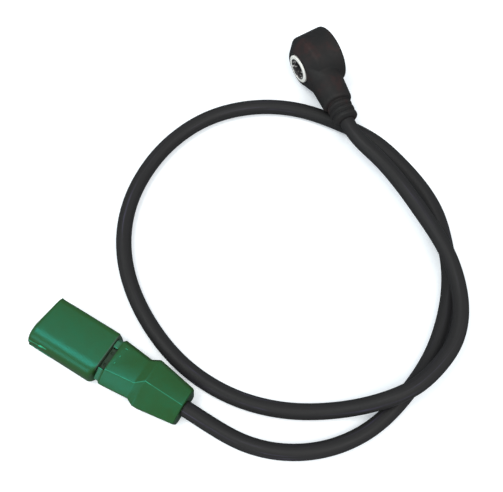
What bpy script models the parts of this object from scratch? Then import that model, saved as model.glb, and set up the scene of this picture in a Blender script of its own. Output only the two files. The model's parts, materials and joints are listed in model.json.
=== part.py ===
"""Engine knock sensor on a moulded lead, with a green three-way plug.

The ring-shaped head lies on its round side, with its bore along +Y: the bolt face
looks to -Y and the contact face to +Y. The neck leaves towards +X, and the lead runs
from it in one and a half loose turns to the plug. +Z is up, and the table is at Z = 0.
"""
import math

import bmesh
import bpy
import numpy as np
from mathutils import Matrix, Vector

MM = 0.001

# Running clearances
GAP = 0.3 * MM
STACK_GAP = 0.12 * MM

# Head: the steel sleeve that the bolt clamps
BORE_DIAMETER = 8.4 * MM
STEM_WALL = 1.7 * MM
RING_STEP = 0.5 * MM
RING_LENGTH = 2.2 * MM
FLANGE_MARGIN = 1.06 * MM
FLANGE_THICKNESS = 2.4 * MM
BORE_CHAMFER = 0.5 * MM

# Head: the stack on the sleeve, from the flange towards the bolt face
STACK_RING_WIDTH = 3.0 * MM
TUBE_WALL = 0.5 * MM
INSULATOR_THICKNESS = 0.5 * MM
CONTACT_THICKNESS = 0.4 * MM
PIEZO_THICKNESS = 2.6 * MM
MASS_THICKNESS = 4.2 * MM
SPRING_THICKNESS = 0.7 * MM
SPRING_RISE = 0.5 * MM
NUT_THICKNESS = 1.9 * MM
NUT_INSET = 0.7 * MM

# Head: the moulded housing
HOUSING_WALL = 2.66 * MM
FRONT_WALL = 2.54 * MM
FRONT_LEDGE = 1.75 * MM
FRONT_CHAMFER_LENGTH = 4.3 * MM
FRONT_RECESS = 0.5 * MM
BACK_RECESS = 0.4 * MM
RIM_ROUNDING = 0.8 * MM
CAVITY_CLEARANCE = 0.4 * MM
CAVITY_BEVEL = 1.2 * MM

# Neck and its ribbed bend relief
NECK_TILT = math.radians(8.4)
NECK_OFFSET = 0.5 * MM
NECK_ROOT_DIAMETER = 14.8 * MM
NECK_DIAMETER = 13.3 * MM
NECK_FILLET_DEPTH = 0.6 * MM
NECK_REACH = 12.0 * MM
SHOULDER_ROUNDING = 1.6 * MM
RELIEF_DIAMETER = 11.0 * MM
GROOVE_DEPTH = 0.75 * MM
GROOVE_WIDTH = 0.95 * MM
RIB_WIDTH = 1.8 * MM
RIB_COUNT = 3
RELIEF_END_DIAMETER = 8.0 * MM
RELIEF_END_TAPER = 1.0 * MM
NECK_BORE_DIAMETER = 5.2 * MM
NECK_MOUTH_DIAMETER = 9.4 * MM
NECK_MOUTH_DEPTH = 4.8 * MM
NECK_MOUTH_TAPER = 4.0 * MM

# Wires inside the head, the lead and the plug
CORE_DIAMETER = 1.7 * MM
CORE_SPACING = 2.1 * MM
CORE_BUNDLE = 0.66
CORE_BEND_ASIDE = 0.6
CORE_BEND_SHARE = 0.55
CORE_BEND_INWARD = 0.95
CORE_POINTS = 14
TAB_WIDTH = 2.2 * MM
TAB_LENGTH = 2.0 * MM
TAB_OVERLAP = 1.6 * MM
TAB_SPACING = 3.4 * MM
POCKET_WALL = 1.1 * MM
LEAD_DIAMETER = 6.4 * MM
LEAD_STEP = 12.4 * MM
LEAD_LIFT = 0.4 * MM
LEAD_STUB = 2.5 * MM

# Plug: place on the table
PLUG_CENTRE = (64.3 * MM, -139.5 * MM)
PLUG_TURN = math.radians(28.5)

# Plug hood, measured along the plug from its centre, + towards the lead
HOOD_WIDTH = 21.2 * MM
HOOD_HEIGHT = 12.8 * MM
HOOD_TOP_FALL = 1.2 * MM
HOOD_SHOULDER_EASING = 7.0 * MM
HOOD_EDGE_EASING = 2.2 * MM
HOOD_FOOT_EASING = 4.0 * MM
HOOD_WALL = 1.4 * MM
HOOD_MOUTH_AT = -30.6 * MM
HOOD_BACK_AT = -0.5 * MM
MOUTH_SKEW = math.radians(8)
MOUTH_SKEW_FROM = -2.0 * MM
PIN_WALL_THICKNESS = 7.0 * MM
GUIDE_RIB_LENGTH = 11.0 * MM
GUIDE_RIB_HEIGHT = 0.8 * MM
GUIDE_RIB_PROUD = 0.3 * MM
GUIDE_RIB_DEPTH = 2.0 * MM
GUIDE_RIB_LEVEL = 6.4 * MM

# Plug waist and rear shell
WAIST_LENGTH = 3.0 * MM
SLOT_WIDTH = 9.5 * MM
ARM_DROP = 0.8 * MM
SHELL_LENGTH = 32.6 * MM
KNUCKLE_START = 12.6 * MM
KNUCKLE_LENGTH = 3.4 * MM
SHELL_FRONT_WIDTH = 19.6 * MM
SHELL_WAIST_WIDTH = 17.2 * MM
KNUCKLE_WIDTH = 20.4 * MM
SHELL_END_WIDTH = 15.6 * MM
SHELL_HEIGHT = 12.8 * MM
KNUCKLE_HEIGHT = 13.8 * MM
SHELL_END_HEIGHT = 11.2 * MM
SHELL_CREASE = 4.4 * MM
SHELL_WAIST_CREASE = 2.9 * MM
SHELL_RIDGE = 0.2 * MM
SHELL_EAVES_DROP = 3.6 * MM
SHELL_FAR_DROP = 1.6 * MM
SHELL_FAR_EDGE = 1.4 * MM
SHELL_DRAFT = 0.9 * MM
SHELL_FOOT = 1.0 * MM
SHELL_END_ROUNDING = 1.1 * MM
LEAD_EXIT_HEIGHT = 5.8 * MM

# Plug: contacts and seals
PIN_COUNT = 3
PIN_PITCH = 4.8 * MM
PIN_WIDTH = 2.8 * MM
PIN_THICKNESS = 0.8 * MM
PIN_DROP = 0.3 * MM
PIN_REACH = 15.0 * MM
PIN_TAIL = 6.4 * MM
PIN_TAPER = 1.6 * MM
CRIMP_DIAMETER = 2.4 * MM
SEAL_LENGTH = 4.0 * MM
SEAL_WIDTH = 12.6 * MM
SEAL_HEIGHT = 5.0 * MM

# Facets round the turned shapes, how far a cutter runs PAST what it cuts, and what counts as one point
ROUND_STEPS = 48
FINE_STEPS = 64
SMALL_STEPS = 16
PAST = 1.0 * MM
WELD = 0.002 * MM

# The lead's route over the table between its ends: X, Y and height in mm
LEAD_ROUTE = [
    (32.9, -4.3, 12.5), (44.2, -2.0, 11.9), (56.1, -0.4, 11.2), (73.3, -0.0, 10.5),
    (95.3, -1.6, 10.2), (107.9, -5.8, 10.1), (118.8, -12.6, 10.1), (126.0, -20.8, 10.1),
    (130.5, -31.4, 10.2), (132.7, -44.1, 10.6), (131.0, -56.5, 9.2), (127.0, -67.3, 4.8),
    (117.8, -85.3, 3.2), (102.4, -102.7, 3.2), (82.8, -114.0, 3.2), (57.1, -118.9, 3.2),
    (32.1, -116.1, 3.2), (12.6, -106.6, 3.2), (-3.1, -89.7, 3.2), (-11.4, -71.3, 3.2),
    (-13.5, -51.9, 3.2), (-8.2, -31.8, 3.2), (3.3, -15.2, 3.2), (18.6, -3.2, 3.2),
    (32.8, 4.6, 3.2), (48.5, 8.3, 3.2), (63.6, 9.4, 3.2), (75.3, 8.1, 3.2),
    (88.0, 3.5, 3.2), (101.1, -3.5, 3.2), (113.2, -13.8, 3.2), (124.1, -27.7, 3.2),
    (132.2, -45.0, 3.2), (136.9, -66.0, 3.2), (135.1, -82.3, 3.2), (128.1, -97.8, 3.2),
    (116.6, -110.1, 3.2), (105.9, -116.9, 4.5),
]

# Radii of the sleeve and of what sits round it
BORE = BORE_DIAMETER / 2
STEM = BORE + STEM_WALL
RING = STEM + RING_STEP
TUBE_INNER = STEM + STACK_GAP
TUBE_OUTER = TUBE_INNER + TUBE_WALL
STACK_INNER = TUBE_OUTER + STACK_GAP
STACK_OUTER = STACK_INNER + STACK_RING_WIDTH
CONTACT_OUTER = STACK_OUTER - CAVITY_CLEARANCE
FLANGE = STACK_OUTER + FLANGE_MARGIN
HOUSING = STACK_OUTER + CAVITY_CLEARANCE + HOUSING_WALL

# Heights in the head, counted from the bolt face
STACK_ORDER = [
    ("lower_insulator", INSULATOR_THICKNESS),
    ("lower_contact", CONTACT_THICKNESS),
    ("piezo_ring", PIEZO_THICKNESS),
    ("upper_contact", CONTACT_THICKNESS),
    ("upper_insulator", INSULATOR_THICKNESS),
    ("seismic_mass", MASS_THICKNESS),
    ("disc_spring", SPRING_THICKNESS + SPRING_RISE),
    ("clamp_nut", NUT_THICKNESS),
]
STACK_HEIGHT = sum(thickness + STACK_GAP for name, thickness in STACK_ORDER)
CAVITY_TOP = FRONT_WALL
FLANGE_FACE = CAVITY_TOP + CAVITY_CLEARANCE + STACK_HEIGHT
SLEEVE_HEIGHT = FLANGE_FACE + FLANGE_THICKNESS

# Stations along the neck, counted from the head's axis
NECK_ROOT_HEIGHT = SLEEVE_HEIGHT / 2 + NECK_OFFSET
SHOULDER_AT = HOUSING + NECK_REACH
NECK_LENGTH = SHOULDER_AT + RIB_COUNT * (GROOVE_WIDTH + RIB_WIDTH) + RELIEF_END_TAPER

# Stations along the plug and the height of its pins
PIN_LEVEL = HOOD_HEIGHT / 2 - PIN_DROP
PIN_WALL_AT = HOOD_BACK_AT - PIN_WALL_THICKNESS
SHELL_START = HOOD_BACK_AT + WAIST_LENGTH
SHELL_END = SHELL_START + SHELL_LENGTH
WIRE_ROOM_END = SHELL_START + KNUCKLE_START + KNUCKLE_LENGTH
CRIMP_END = SHELL_START + PIN_TAIL
SEAL_AT = CRIMP_END + GAP

for leftover in list(bpy.data.objects):
    bpy.data.objects.remove(leftover, do_unlink=True)

PARTS = bpy.data.collections.new("knock_sensor")
CUTTERS = bpy.data.collections.new("knock_sensor_cutters")
bpy.context.scene.collection.children.link(PARTS)
bpy.context.scene.collection.children.link(CUTTERS)


def material(name, colour, roughness, metallic=0.0):
    """A plain Principled finish for one sub-part."""
    made = bpy.data.materials.new(name)
    made.use_nodes = True
    shader = made.node_tree.nodes["Principled BSDF"]
    shader.inputs["Base Color"].default_value = (*colour, 1.0)
    shader.inputs["Roughness"].default_value = roughness
    shader.inputs["Metallic"].default_value = metallic
    return made


STEEL = material("bright_steel", (0.72, 0.70, 0.66), 0.28, 1.0)
BRASS = material("brass", (0.72, 0.52, 0.22), 0.35, 1.0)
SPRING_STEEL = material("spring_steel", (0.32, 0.32, 0.34), 0.35, 1.0)
CERAMIC = material("grey_ceramic", (0.36, 0.35, 0.31), 0.6)
FILM = material("amber_film", (0.55, 0.30, 0.06), 0.45)
BLACK_MOULDING = material("black_moulding", (0.030, 0.028, 0.028), 0.5)
BLACK_SHEATH = material("black_sheath", (0.028, 0.027, 0.029), 0.45)
GREEN_MOULDING = material("green_moulding", (0.020, 0.145, 0.055), 0.4)
DARK_INSERT = material("dark_insert", (0.035, 0.033, 0.030), 0.6)
TINNED = material("tinned_copper", (0.62, 0.61, 0.58), 0.3, 1.0)
SEAL_RUBBER = material("seal_rubber", (0.36, 0.10, 0.03), 0.6)
WHITE_WIRE = material("white_wire", (0.62, 0.61, 0.57), 0.5)
RED_WIRE = material("red_wire", (0.40, 0.03, 0.02), 0.5)
BRAID = material("copper_braid", (0.60, 0.36, 0.20), 0.4, 1.0)


def add(name, mesh, finish=None, parent=None):
    """Puts a mesh in the scene: a part if it has a finish, otherwise a cutter."""
    made = bpy.data.objects.new(name, mesh)
    if finish is None:
        CUTTERS.objects.link(made)
        made.hide_render = True
        made.display_type = "WIRE"
    else:
        PARTS.objects.link(made)
        mesh.materials.append(finish)
    made.parent = parent
    return made


def frame(name, location, turn):
    """An empty that carries a group of parts at its place on the table."""
    empty = bpy.data.objects.new(name, None)
    PARTS.objects.link(empty)
    empty.location = location
    empty.rotation_euler = (0.0, 0.0, turn)
    return empty


def smooth(mesh, angle=math.radians(35)):
    mesh.shade_smooth()
    mesh.set_sharp_from_angle(angle=angle)


def baked(source):
    """The evaluated mesh of an object, welded, with the source taken away."""
    graph = bpy.context.evaluated_depsgraph_get()
    mesh = bpy.data.meshes.new_from_object(source.evaluated_get(graph))
    bm = bmesh.new()
    bm.from_mesh(mesh)
    bmesh.ops.remove_doubles(bm, verts=bm.verts, dist=WELD)
    bmesh.ops.recalc_face_normals(bm, faces=bm.faces)
    bm.to_mesh(mesh)
    bm.free()
    bpy.data.objects.remove(source, do_unlink=True)
    return mesh


def turned_mesh(name, profile, steps=ROUND_STEPS):
    """A closed profile of (radius, height) points, turned round Z."""
    mesh = bpy.data.meshes.new(name)
    count = len(profile)
    on_axis = profile[0][0] == 0.0
    edges = [(i, i + 1) for i in range(count - 1)]
    if not on_axis:
        edges.append((count - 1, 0))
    mesh.from_pydata([(radius, 0.0, height) for radius, height in profile], edges, [])
    source = bpy.data.objects.new(name, mesh)
    bpy.context.scene.collection.objects.link(source)
    screw = source.modifiers.new("turn", "SCREW")
    screw.steps = steps
    screw.render_steps = steps
    screw.use_merge_vertices = True
    screw.merge_threshold = WELD
    screw.use_normal_calculate = True
    result = baked(source)
    smooth(result)
    return result


def ring_profile(inner, outer, low, high):
    """A plain washer's section, as radii and heights."""
    return [(outer, high), (outer, low), (inner, low), (inner, high)]


ALONG_Y = Matrix.Rotation(-math.pi / 2, 4, "X")
ALONG_X = Matrix.Rotation(math.pi / 2, 4, "Y")


def outline_mesh(name, points, depth):
    """A flat outline of (x, y) points, made into a plate of the given depth about Z = 0."""
    curve = bpy.data.curves.new(name, "CURVE")
    curve.dimensions = "2D"
    curve.fill_mode = "BOTH"
    curve.extrude = depth / 2
    spline = curve.splines.new("POLY")
    spline.points.add(len(points) - 1)
    for point, (x, y) in zip(spline.points, points):
        point.co = (x, y, 0.0, 1.0)
    spline.use_cyclic_u = True
    source = bpy.data.objects.new(name, curve)
    bpy.context.scene.collection.objects.link(source)
    return baked(source)


def eased_outline(corners, steps=7):
    """An outline of (x, y, easing) corners, each of them turned into a short curve."""
    points = []
    for i, (x, y, easing) in enumerate(corners):
        here = Vector((x, y))
        before = here + (Vector(corners[i - 1][:2]) - here).normalized() * easing
        after = here + (Vector(corners[(i + 1) % len(corners)][:2]) - here).normalized() * easing
        for step in range(steps + 1):
            share = step / steps
            point = before * (1 - share) ** 2 + here * (2 * share * (1 - share)) + after * share ** 2
            points.append((point.x, point.y))
    return points


# A plate that lies flat becomes one that stands across the plug: its X runs across, its Y up
ACROSS_PLUG = Matrix(((0, 0, 1, 0), (1, 0, 0, 0), (0, 1, 0, 0), (0, 0, 0, 1)))


def block_mesh(name, size, centre, bevel=0.0):
    """A box from a cube primitive, with its edges rounded where asked."""
    mesh = bpy.data.meshes.new(name)
    bm = bmesh.new()
    bmesh.ops.create_cube(bm, size=1.0)
    bmesh.ops.scale(bm, vec=Vector(size), verts=bm.verts)
    if bevel > 0.0:
        bmesh.ops.bevel(bm, geom=bm.edges, offset=bevel, segments=2, profile=0.5, affect="EDGES")
    bmesh.ops.translate(bm, vec=Vector(centre), verts=bm.verts)
    bm.to_mesh(mesh)
    bm.free()
    return mesh


def boolean(target, tool, operation):
    cut = target.modifiers.new(tool.name, "BOOLEAN")
    cut.object = tool
    cut.operation = operation
    cut.solver = "EXACT"


def route_curve(points, leaves=None, arrives=None):
    """A cubic through the points, as a function of distance, and its reach.

    Where the directions at its ends are given the curve keeps them, otherwise it is free there.
    """
    points = np.array(points, dtype=float)
    chords = np.linalg.norm(np.diff(points, axis=0), axis=1)
    marks = np.concatenate([[0.0], np.cumsum(chords)])
    count = len(points)
    system = np.eye(count)
    load = np.zeros((count, 3))
    for i in range(1, count - 1):
        system[i, i - 1:i + 2] = chords[i - 1], 2 * (chords[i - 1] + chords[i]), chords[i]
        load[i] = (points[i + 1] - points[i]) / chords[i] - (points[i] - points[i - 1]) / chords[i - 1]
    if leaves is not None:
        system[0, :2] = 2 * chords[0], chords[0]
        load[0] = (points[1] - points[0]) / chords[0] - np.array(leaves)
    if arrives is not None:
        system[-1, -2:] = chords[-1], 2 * chords[-1]
        load[-1] = np.array(arrives) - (points[-1] - points[-2]) / chords[-1]
    bends = np.linalg.solve(system, 6 * load)

    def at(mark):
        i = int(np.clip(np.searchsorted(marks, mark) - 1, 0, count - 2))
        before = marks[i + 1] - mark
        after = mark - marks[i]
        span = chords[i]
        curved = (bends[i] * before ** 3 + bends[i + 1] * after ** 3) / (6 * span)
        start = (points[i] / span - bends[i] * span / 6) * before
        end = (points[i + 1] / span - bends[i + 1] * span / 6) * after
        return curved + start + end

    return at, marks[-1]


def lifted(height, floor, ease):
    """Keeps a height above the floor without a kink where it comes down."""
    drop = height - floor
    return floor + (drop + math.sqrt(drop * drop + ease * ease)) / 2


def tube_mesh(name, path, diameter, resolution):
    """A round tube with flat caps along a list of points."""
    curve = bpy.data.curves.new(name, "CURVE")
    curve.dimensions = "3D"
    curve.bevel_depth = diameter / 2
    curve.bevel_resolution = resolution
    curve.use_fill_caps = True
    spline = curve.splines.new("POLY")
    spline.points.add(len(path) - 1)
    for point, place in zip(spline.points, path):
        point.co = (*place, 1.0)
    source = bpy.data.objects.new(name, curve)
    bpy.context.scene.collection.objects.link(source)
    mesh = baked(source)
    smooth(mesh)
    return mesh


def neck_profile():
    """Outer line of the neck and its ribbed bend relief, as radii along the neck's axis."""
    root = NECK_ROOT_DIAMETER / 2
    neck = NECK_DIAMETER / 2
    relief = RELIEF_DIAMETER / 2
    groove = relief - GROOVE_DEPTH
    line = [
        (root, STACK_OUTER), (root, HOUSING - NECK_FILLET_DEPTH),
        (neck, SHOULDER_AT - SHOULDER_ROUNDING),
    ]
    for step in range(1, 5):
        angle = step / 4 * math.pi / 2
        line.append((neck - SHOULDER_ROUNDING * (1 - math.cos(angle)),
                     SHOULDER_AT - SHOULDER_ROUNDING * (1 - math.sin(angle))))
    along = SHOULDER_AT
    ease = GROOVE_WIDTH / 4
    for rib in range(RIB_COUNT):
        line += [(groove, along + ease), (groove, along + GROOVE_WIDTH - ease)]
        along += GROOVE_WIDTH
        line += [(relief, along + ease), (relief, along + RIB_WIDTH - ease)]
        along += RIB_WIDTH
    line.append((RELIEF_END_DIAMETER / 2, along + RELIEF_END_TAPER))
    return line


def head_place():
    """Where the head's axis stands, so that the origin is under the middle of the head's box."""
    sides = [
        (NECK_ROOT_HEIGHT - along * math.sin(NECK_TILT) - radius * math.cos(NECK_TILT))
        for radius, along in neck_profile()
    ]
    neck_tip = NECK_LENGTH * math.cos(NECK_TILT) + RELIEF_END_DIAMETER / 2 * math.sin(NECK_TILT)
    return Vector((
        (HOUSING - neck_tip) / 2, -(SLEEVE_HEIGHT + min(0.0, *sides)) / 2, HOUSING,
    ))


HEAD = frame("head_frame", head_place(), 0.0)
PLUG = frame("plug_frame", (*PLUG_CENTRE, 0.0), PLUG_TURN)

def stack_places():
    """Each ring of the stack with its low and high face, from the flange to the nut."""
    places = {}
    high = FLANGE_FACE
    for name, thickness in STACK_ORDER:
        high -= STACK_GAP
        places[name] = (high - thickness, high)
        high -= thickness
    return places


STACK = stack_places()


def core_sleeve():
    """Turned steel sleeve: bore, stem, bolt-side ring and the wide contact flange."""
    small = BORE_CHAMFER / 2
    profile = [
        (BORE, SLEEVE_HEIGHT - BORE_CHAMFER), (BORE + BORE_CHAMFER, SLEEVE_HEIGHT),
        (FLANGE - BORE_CHAMFER, SLEEVE_HEIGHT), (FLANGE, SLEEVE_HEIGHT - BORE_CHAMFER),
        (FLANGE, FLANGE_FACE), (STEM, FLANGE_FACE),
        (STEM, RING_LENGTH), (RING, RING_LENGTH), (RING, small), (RING - small, 0.0),
        (BORE + BORE_CHAMFER, 0.0), (BORE, BORE_CHAMFER),
    ]
    sleeve = add("core_sleeve", turned_mesh("core_sleeve", profile), STEEL, HEAD)
    sleeve.data.transform(ALONG_Y)


def stack_ring(name, inner, outer, finish):
    low, high = STACK[name]
    mesh = turned_mesh(name, ring_profile(inner, outer, low, high))
    mesh.transform(ALONG_Y)
    return add(name, mesh, finish, HEAD)


CONTACT_SIDES = {"upper_contact": -1, "lower_contact": 1}


def contact_ring(name):
    """A thin contact washer with a solder tab that points into the neck."""
    low, high = STACK[name]
    ring = stack_ring(name, STACK_INNER, CONTACT_OUTER, BRASS)
    length = TAB_LENGTH + TAB_OVERLAP
    up = CONTACT_SIDES[name] * TAB_SPACING / 2
    centre = (CONTACT_OUTER + TAB_LENGTH - length / 2, (low + high) / 2, up)
    tab = block_mesh(name + "_tab", (length, high - low, TAB_WIDTH), centre)
    boolean(ring, add(name + "_tab", tab, None, HEAD), "UNION")


def disc_spring():
    """A shallow cone washer that presses the mass on to the stack."""
    low, high = STACK["disc_spring"]
    flat = SPRING_THICKNESS
    profile = [
        (CONTACT_OUTER, high), (CONTACT_OUTER, high - flat), (STACK_INNER, low), (STACK_INNER, low + flat),
    ]
    mesh = turned_mesh("disc_spring", profile)
    mesh.transform(ALONG_Y)
    add("disc_spring", mesh, SPRING_STEEL, HEAD)


def clamp_nut():
    """A thin hexagon nut that holds the stack on the stem."""
    low, high = STACK["clamp_nut"]
    corner = STACK_OUTER - NUT_INSET
    points = [(corner * math.cos(i * math.pi / 3), corner * math.sin(i * math.pi / 3)) for i in range(6)]
    mesh = outline_mesh("clamp_nut", points, high - low)
    mesh.transform(Matrix.Translation((0.0, (low + high) / 2, 0.0)) @ ALONG_Y)
    nut = add("clamp_nut", mesh, STEEL, HEAD)
    hole = turned_mesh("nut_hole", [
        (0.0, high + PAST), (TUBE_INNER, high + PAST), (TUBE_INNER, low - PAST), (0.0, low - PAST)])
    hole.transform(ALONG_Y)
    boolean(nut, add("nut_hole", hole, None, HEAD), "DIFFERENCE")


def insulating_tube():
    """Keeps the contacts and the ceramic off the steel stem."""
    profile = ring_profile(TUBE_INNER, TUBE_OUTER, STACK["disc_spring"][0], FLANGE_FACE - STACK_GAP)
    mesh = turned_mesh("insulating_tube", profile)
    mesh.transform(ALONG_Y)
    add("insulating_tube", mesh, FILM, HEAD)


def neck_matrix():
    """From a profile turned round Z to the neck's place in the head's frame."""
    return Matrix.Translation((0.0, NECK_ROOT_HEIGHT, 0.0)) @ Matrix.Rotation(-NECK_TILT, 4, "Z") @ ALONG_X


def head_housing():
    """Moulded cover: chamfered front, round body, neck, and the cavity for the stack."""
    flat = RING + FRONT_LEDGE
    front = FRONT_RECESS
    back = SLEEVE_HEIGHT - BACK_RECESS
    chamfer_end = front + FRONT_CHAMFER_LENGTH
    small = RIM_ROUNDING / 3
    profile = [
        (0.0, back), (HOUSING - RIM_ROUNDING, back), (HOUSING, back - RIM_ROUNDING),
        (HOUSING, chamfer_end + RIM_ROUNDING), (HOUSING - small, chamfer_end),
        (flat + small, front + small / 2), (flat - small, front), (0.0, front),
    ]
    mesh = turned_mesh("head_housing", profile, FINE_STEPS)
    mesh.transform(ALONG_Y)
    housing = add("head_housing", mesh, BLACK_MOULDING, HEAD)

    line = neck_profile()
    closed = [(0.0, line[-1][1])] + line[::-1] + [(0.0, line[0][1])]
    neck = turned_mesh("neck", closed)
    neck.transform(neck_matrix())
    boolean(housing, add("neck", neck, None, HEAD), "UNION")

    hole = RING + GAP
    seat = FLANGE + GAP
    cavity = STACK_OUTER + CAVITY_CLEARANCE
    room = turned_mesh("stack_room", [
        (0.0, back + PAST), (seat, back + PAST), (seat, FLANGE_FACE - GAP), (cavity, FLANGE_FACE - GAP),
        (cavity, CAVITY_TOP + CAVITY_BEVEL), (cavity - CAVITY_BEVEL, CAVITY_TOP),
        (hole, CAVITY_TOP), (hole, front - PAST), (0.0, front - PAST),
    ])
    room.transform(ALONG_Y)
    boolean(housing, add("stack_room", room, None, HEAD), "DIFFERENCE")

    pocket_low = STACK["upper_insulator"][0]
    pocket_high = FLANGE_FACE - GAP
    pocket_end = HOUSING - POCKET_WALL
    size = (pocket_end - TUBE_INNER, pocket_high - pocket_low, TAB_SPACING + TAB_WIDTH + 2 * GAP)
    centre = ((TUBE_INNER + pocket_end) / 2, (pocket_low + pocket_high) / 2, 0.0)
    boolean(housing, add("tab_pocket", block_mesh("tab_pocket", size, centre), None, HEAD), "DIFFERENCE")

    bore = NECK_BORE_DIAMETER / 2
    mouth = NECK_MOUTH_DIAMETER / 2
    straight = CONTACT_OUTER + NECK_MOUTH_DEPTH
    hole = turned_mesh("neck_bore", [
        (0.0, NECK_LENGTH + PAST), (bore, NECK_LENGTH + PAST), (bore, straight + NECK_MOUTH_TAPER),
        (mouth, straight), (mouth, CONTACT_OUTER), (0.0, CONTACT_OUTER),
    ])
    hole.transform(neck_matrix())
    boolean(housing, add("neck_bore", hole, None, HEAD), "DIFFERENCE")


def smooth_path(points, count):
    """Evenly read points of a natural cubic through the given ones."""
    at, reach = route_curve(points)
    return [Vector(at(reach * i / (count - 1))) for i in range(count)]


def head_cores():
    """The two insulated wires from the contact tabs to the end of the neck."""
    to_head = neck_matrix()
    bend = CONTACT_OUTER + NECK_MOUTH_DEPTH
    cores = [("signal_core", "upper_contact", WHITE_WIRE), ("ground_core", "lower_contact", RED_WIRE)]
    for name, contact, finish in cores:
        side = CONTACT_SIDES[contact]
        start = Vector((CONTACT_OUTER + TAB_LENGTH / 2, STACK[contact][0] - GAP, side * TAB_SPACING / 2))
        beside = Vector((-side * CORE_SPACING / 2, 0.0, 0.0))
        entry = to_head @ (beside + Vector((0.0, 0.0, bend + NECK_MOUTH_TAPER)))
        inside = to_head @ (beside + Vector((0.0, 0.0, (bend + NECK_LENGTH) / 2)))
        end = to_head @ (beside + Vector((0.0, 0.0, NECK_LENGTH)))
        corner = Vector((start.x + CORE_DIAMETER * CORE_BEND_ASIDE,
                         entry.y + (start.y - entry.y) * CORE_BEND_SHARE, start.z * CORE_BEND_INWARD))
        path = smooth_path([start, corner, entry, inside, end], CORE_POINTS)
        add(name, tube_mesh(name, path, CORE_DIAMETER, 2), finish, HEAD)


def lead_path():
    """Points along the lead, square to the neck's end and to the plug's."""
    leaves = Vector((math.cos(NECK_TILT), -math.sin(NECK_TILT), 0.0))
    arrives = -Vector((math.cos(PLUG_TURN), math.sin(PLUG_TURN), 0.0))
    start = head_place() + Vector((0.0, NECK_ROOT_HEIGHT, 0.0)) + leaves * (NECK_LENGTH + GAP)
    end = Vector((*PLUG_CENTRE, LEAD_EXIT_HEIGHT)) - arrives * (SHELL_END + GAP)
    route = [start] + [Vector(place) * MM for place in LEAD_ROUTE] + [end]
    at, reach = route_curve(route, leaves, arrives)
    count = int(reach / LEAD_STEP) + 1
    path = [start]
    for i in range(1, count - 1):
        x, y, z = at(reach * i / (count - 1))
        path.append(Vector((x, y, lifted(z, LEAD_DIAMETER / 2, LEAD_LIFT))))
    path.insert(1, start + leaves * LEAD_STUB)
    return path + [end - arrives * LEAD_STUB, end]


def lead():
    """The free lead: one round sheath from the neck to the plug."""
    add("lead", tube_mesh("lead", lead_path(), LEAD_DIAMETER, 4), BLACK_SHEATH)


def across(name, points, near, far):
    """A plate of the given outline that fills the plug from one station to another."""
    mesh = outline_mesh(name, points, far - near)
    mesh.transform(Matrix.Translation(((near + far) / 2, 0.0, HOOD_HEIGHT / 2)) @ ACROSS_PLUG)
    return mesh


def pin_places():
    """Where each pin sits across the plug."""
    return [(i - (PIN_COUNT - 1) / 2) * PIN_PITCH for i in range(PIN_COUNT)]


def hood_outline(inset):
    """The hood's section: a wide near shoulder, and a top that falls a little to a tight far edge."""
    side = HOOD_WIDTH / 2 - inset
    top = HOOD_HEIGHT / 2 - inset
    return eased_outline([
        (side, -top, HOOD_FOOT_EASING - inset), (side, top - HOOD_TOP_FALL, HOOD_EDGE_EASING - inset),
        (-side, top, HOOD_SHOULDER_EASING - inset), (-side, -top, HOOD_FOOT_EASING - inset),
    ])


def connector_hood():
    """Shroud with a slanted mouth, its socket, the pins' wall and a guide rib on each side."""
    body = across("connector_hood", hood_outline(0.0), HOOD_MOUTH_AT, HOOD_BACK_AT)
    hood = add("connector_hood", body, GREEN_MOULDING, PLUG)
    for side, name in [(-1, "guide_rib_near"), (1, "guide_rib_far")]:
        size = (GUIDE_RIB_LENGTH, GUIDE_RIB_DEPTH, GUIDE_RIB_HEIGHT)
        along = HOOD_MOUTH_AT + GUIDE_RIB_LENGTH / 2 + GUIDE_RIB_PROUD
        if side > 0:
            along += HOOD_WIDTH / 2 * math.tan(MOUTH_SKEW)
        rib = block_mesh(name, size, (
            along, side * ((HOOD_WIDTH - GUIDE_RIB_DEPTH) / 2 + GUIDE_RIB_PROUD), GUIDE_RIB_LEVEL))
        boolean(hood, add(name, rib, None, PLUG), "UNION")
    skew = Matrix.Translation((HOOD_MOUTH_AT, MOUTH_SKEW_FROM, 0.0)) @ Matrix.Rotation(-MOUTH_SKEW, 4, "Z")
    slant = block_mesh("slant", (HOOD_HEIGHT, 2 * HOOD_WIDTH, HOOD_HEIGHT + 2 * PAST),
                       (-HOOD_HEIGHT / 2, 0.0, HOOD_HEIGHT / 2))
    slant.transform(skew)
    boolean(hood, add("slant", slant, None, PLUG), "DIFFERENCE")
    inner = across("socket", hood_outline(HOOD_WALL), HOOD_MOUTH_AT - PAST, PIN_WALL_AT)
    socket = add("socket", inner, None, PLUG)
    boolean(hood, socket, "DIFFERENCE")
    for i, place in enumerate(pin_places()):
        name = "pin_slot_%d" % (i + 1)
        size = (PIN_WALL_THICKNESS + 2 * PAST, PIN_WIDTH + 2 * GAP, PIN_THICKNESS + 2 * GAP)
        slot = block_mesh(name, size, ((PIN_WALL_AT + HOOD_BACK_AT) / 2, place, PIN_LEVEL))
        boolean(hood, add(name, slot, None, PLUG), "DIFFERENCE")
    smooth(hood.data, math.radians(30))


def shell_section(width, height, crease, eaves_drop):
    """The rear shell's outline at one station, from its near foot over the top to its far foot.

    The near side slopes down from a crease, the top falls a little to the far edge, and both
    sides draw in towards the table.
    """
    side = width / 2
    foot = side - SHELL_DRAFT
    return [
        (foot - SHELL_FOOT, 0.0), (foot, SHELL_FOOT), (side, height - eaves_drop), (crease, height),
        (-side + SHELL_FAR_EDGE, height - SHELL_FAR_DROP / 2), (-side, height - SHELL_FAR_DROP * 2),
        (-foot, SHELL_FOOT), (-foot + SHELL_FOOT, 0.0),
    ]


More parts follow.
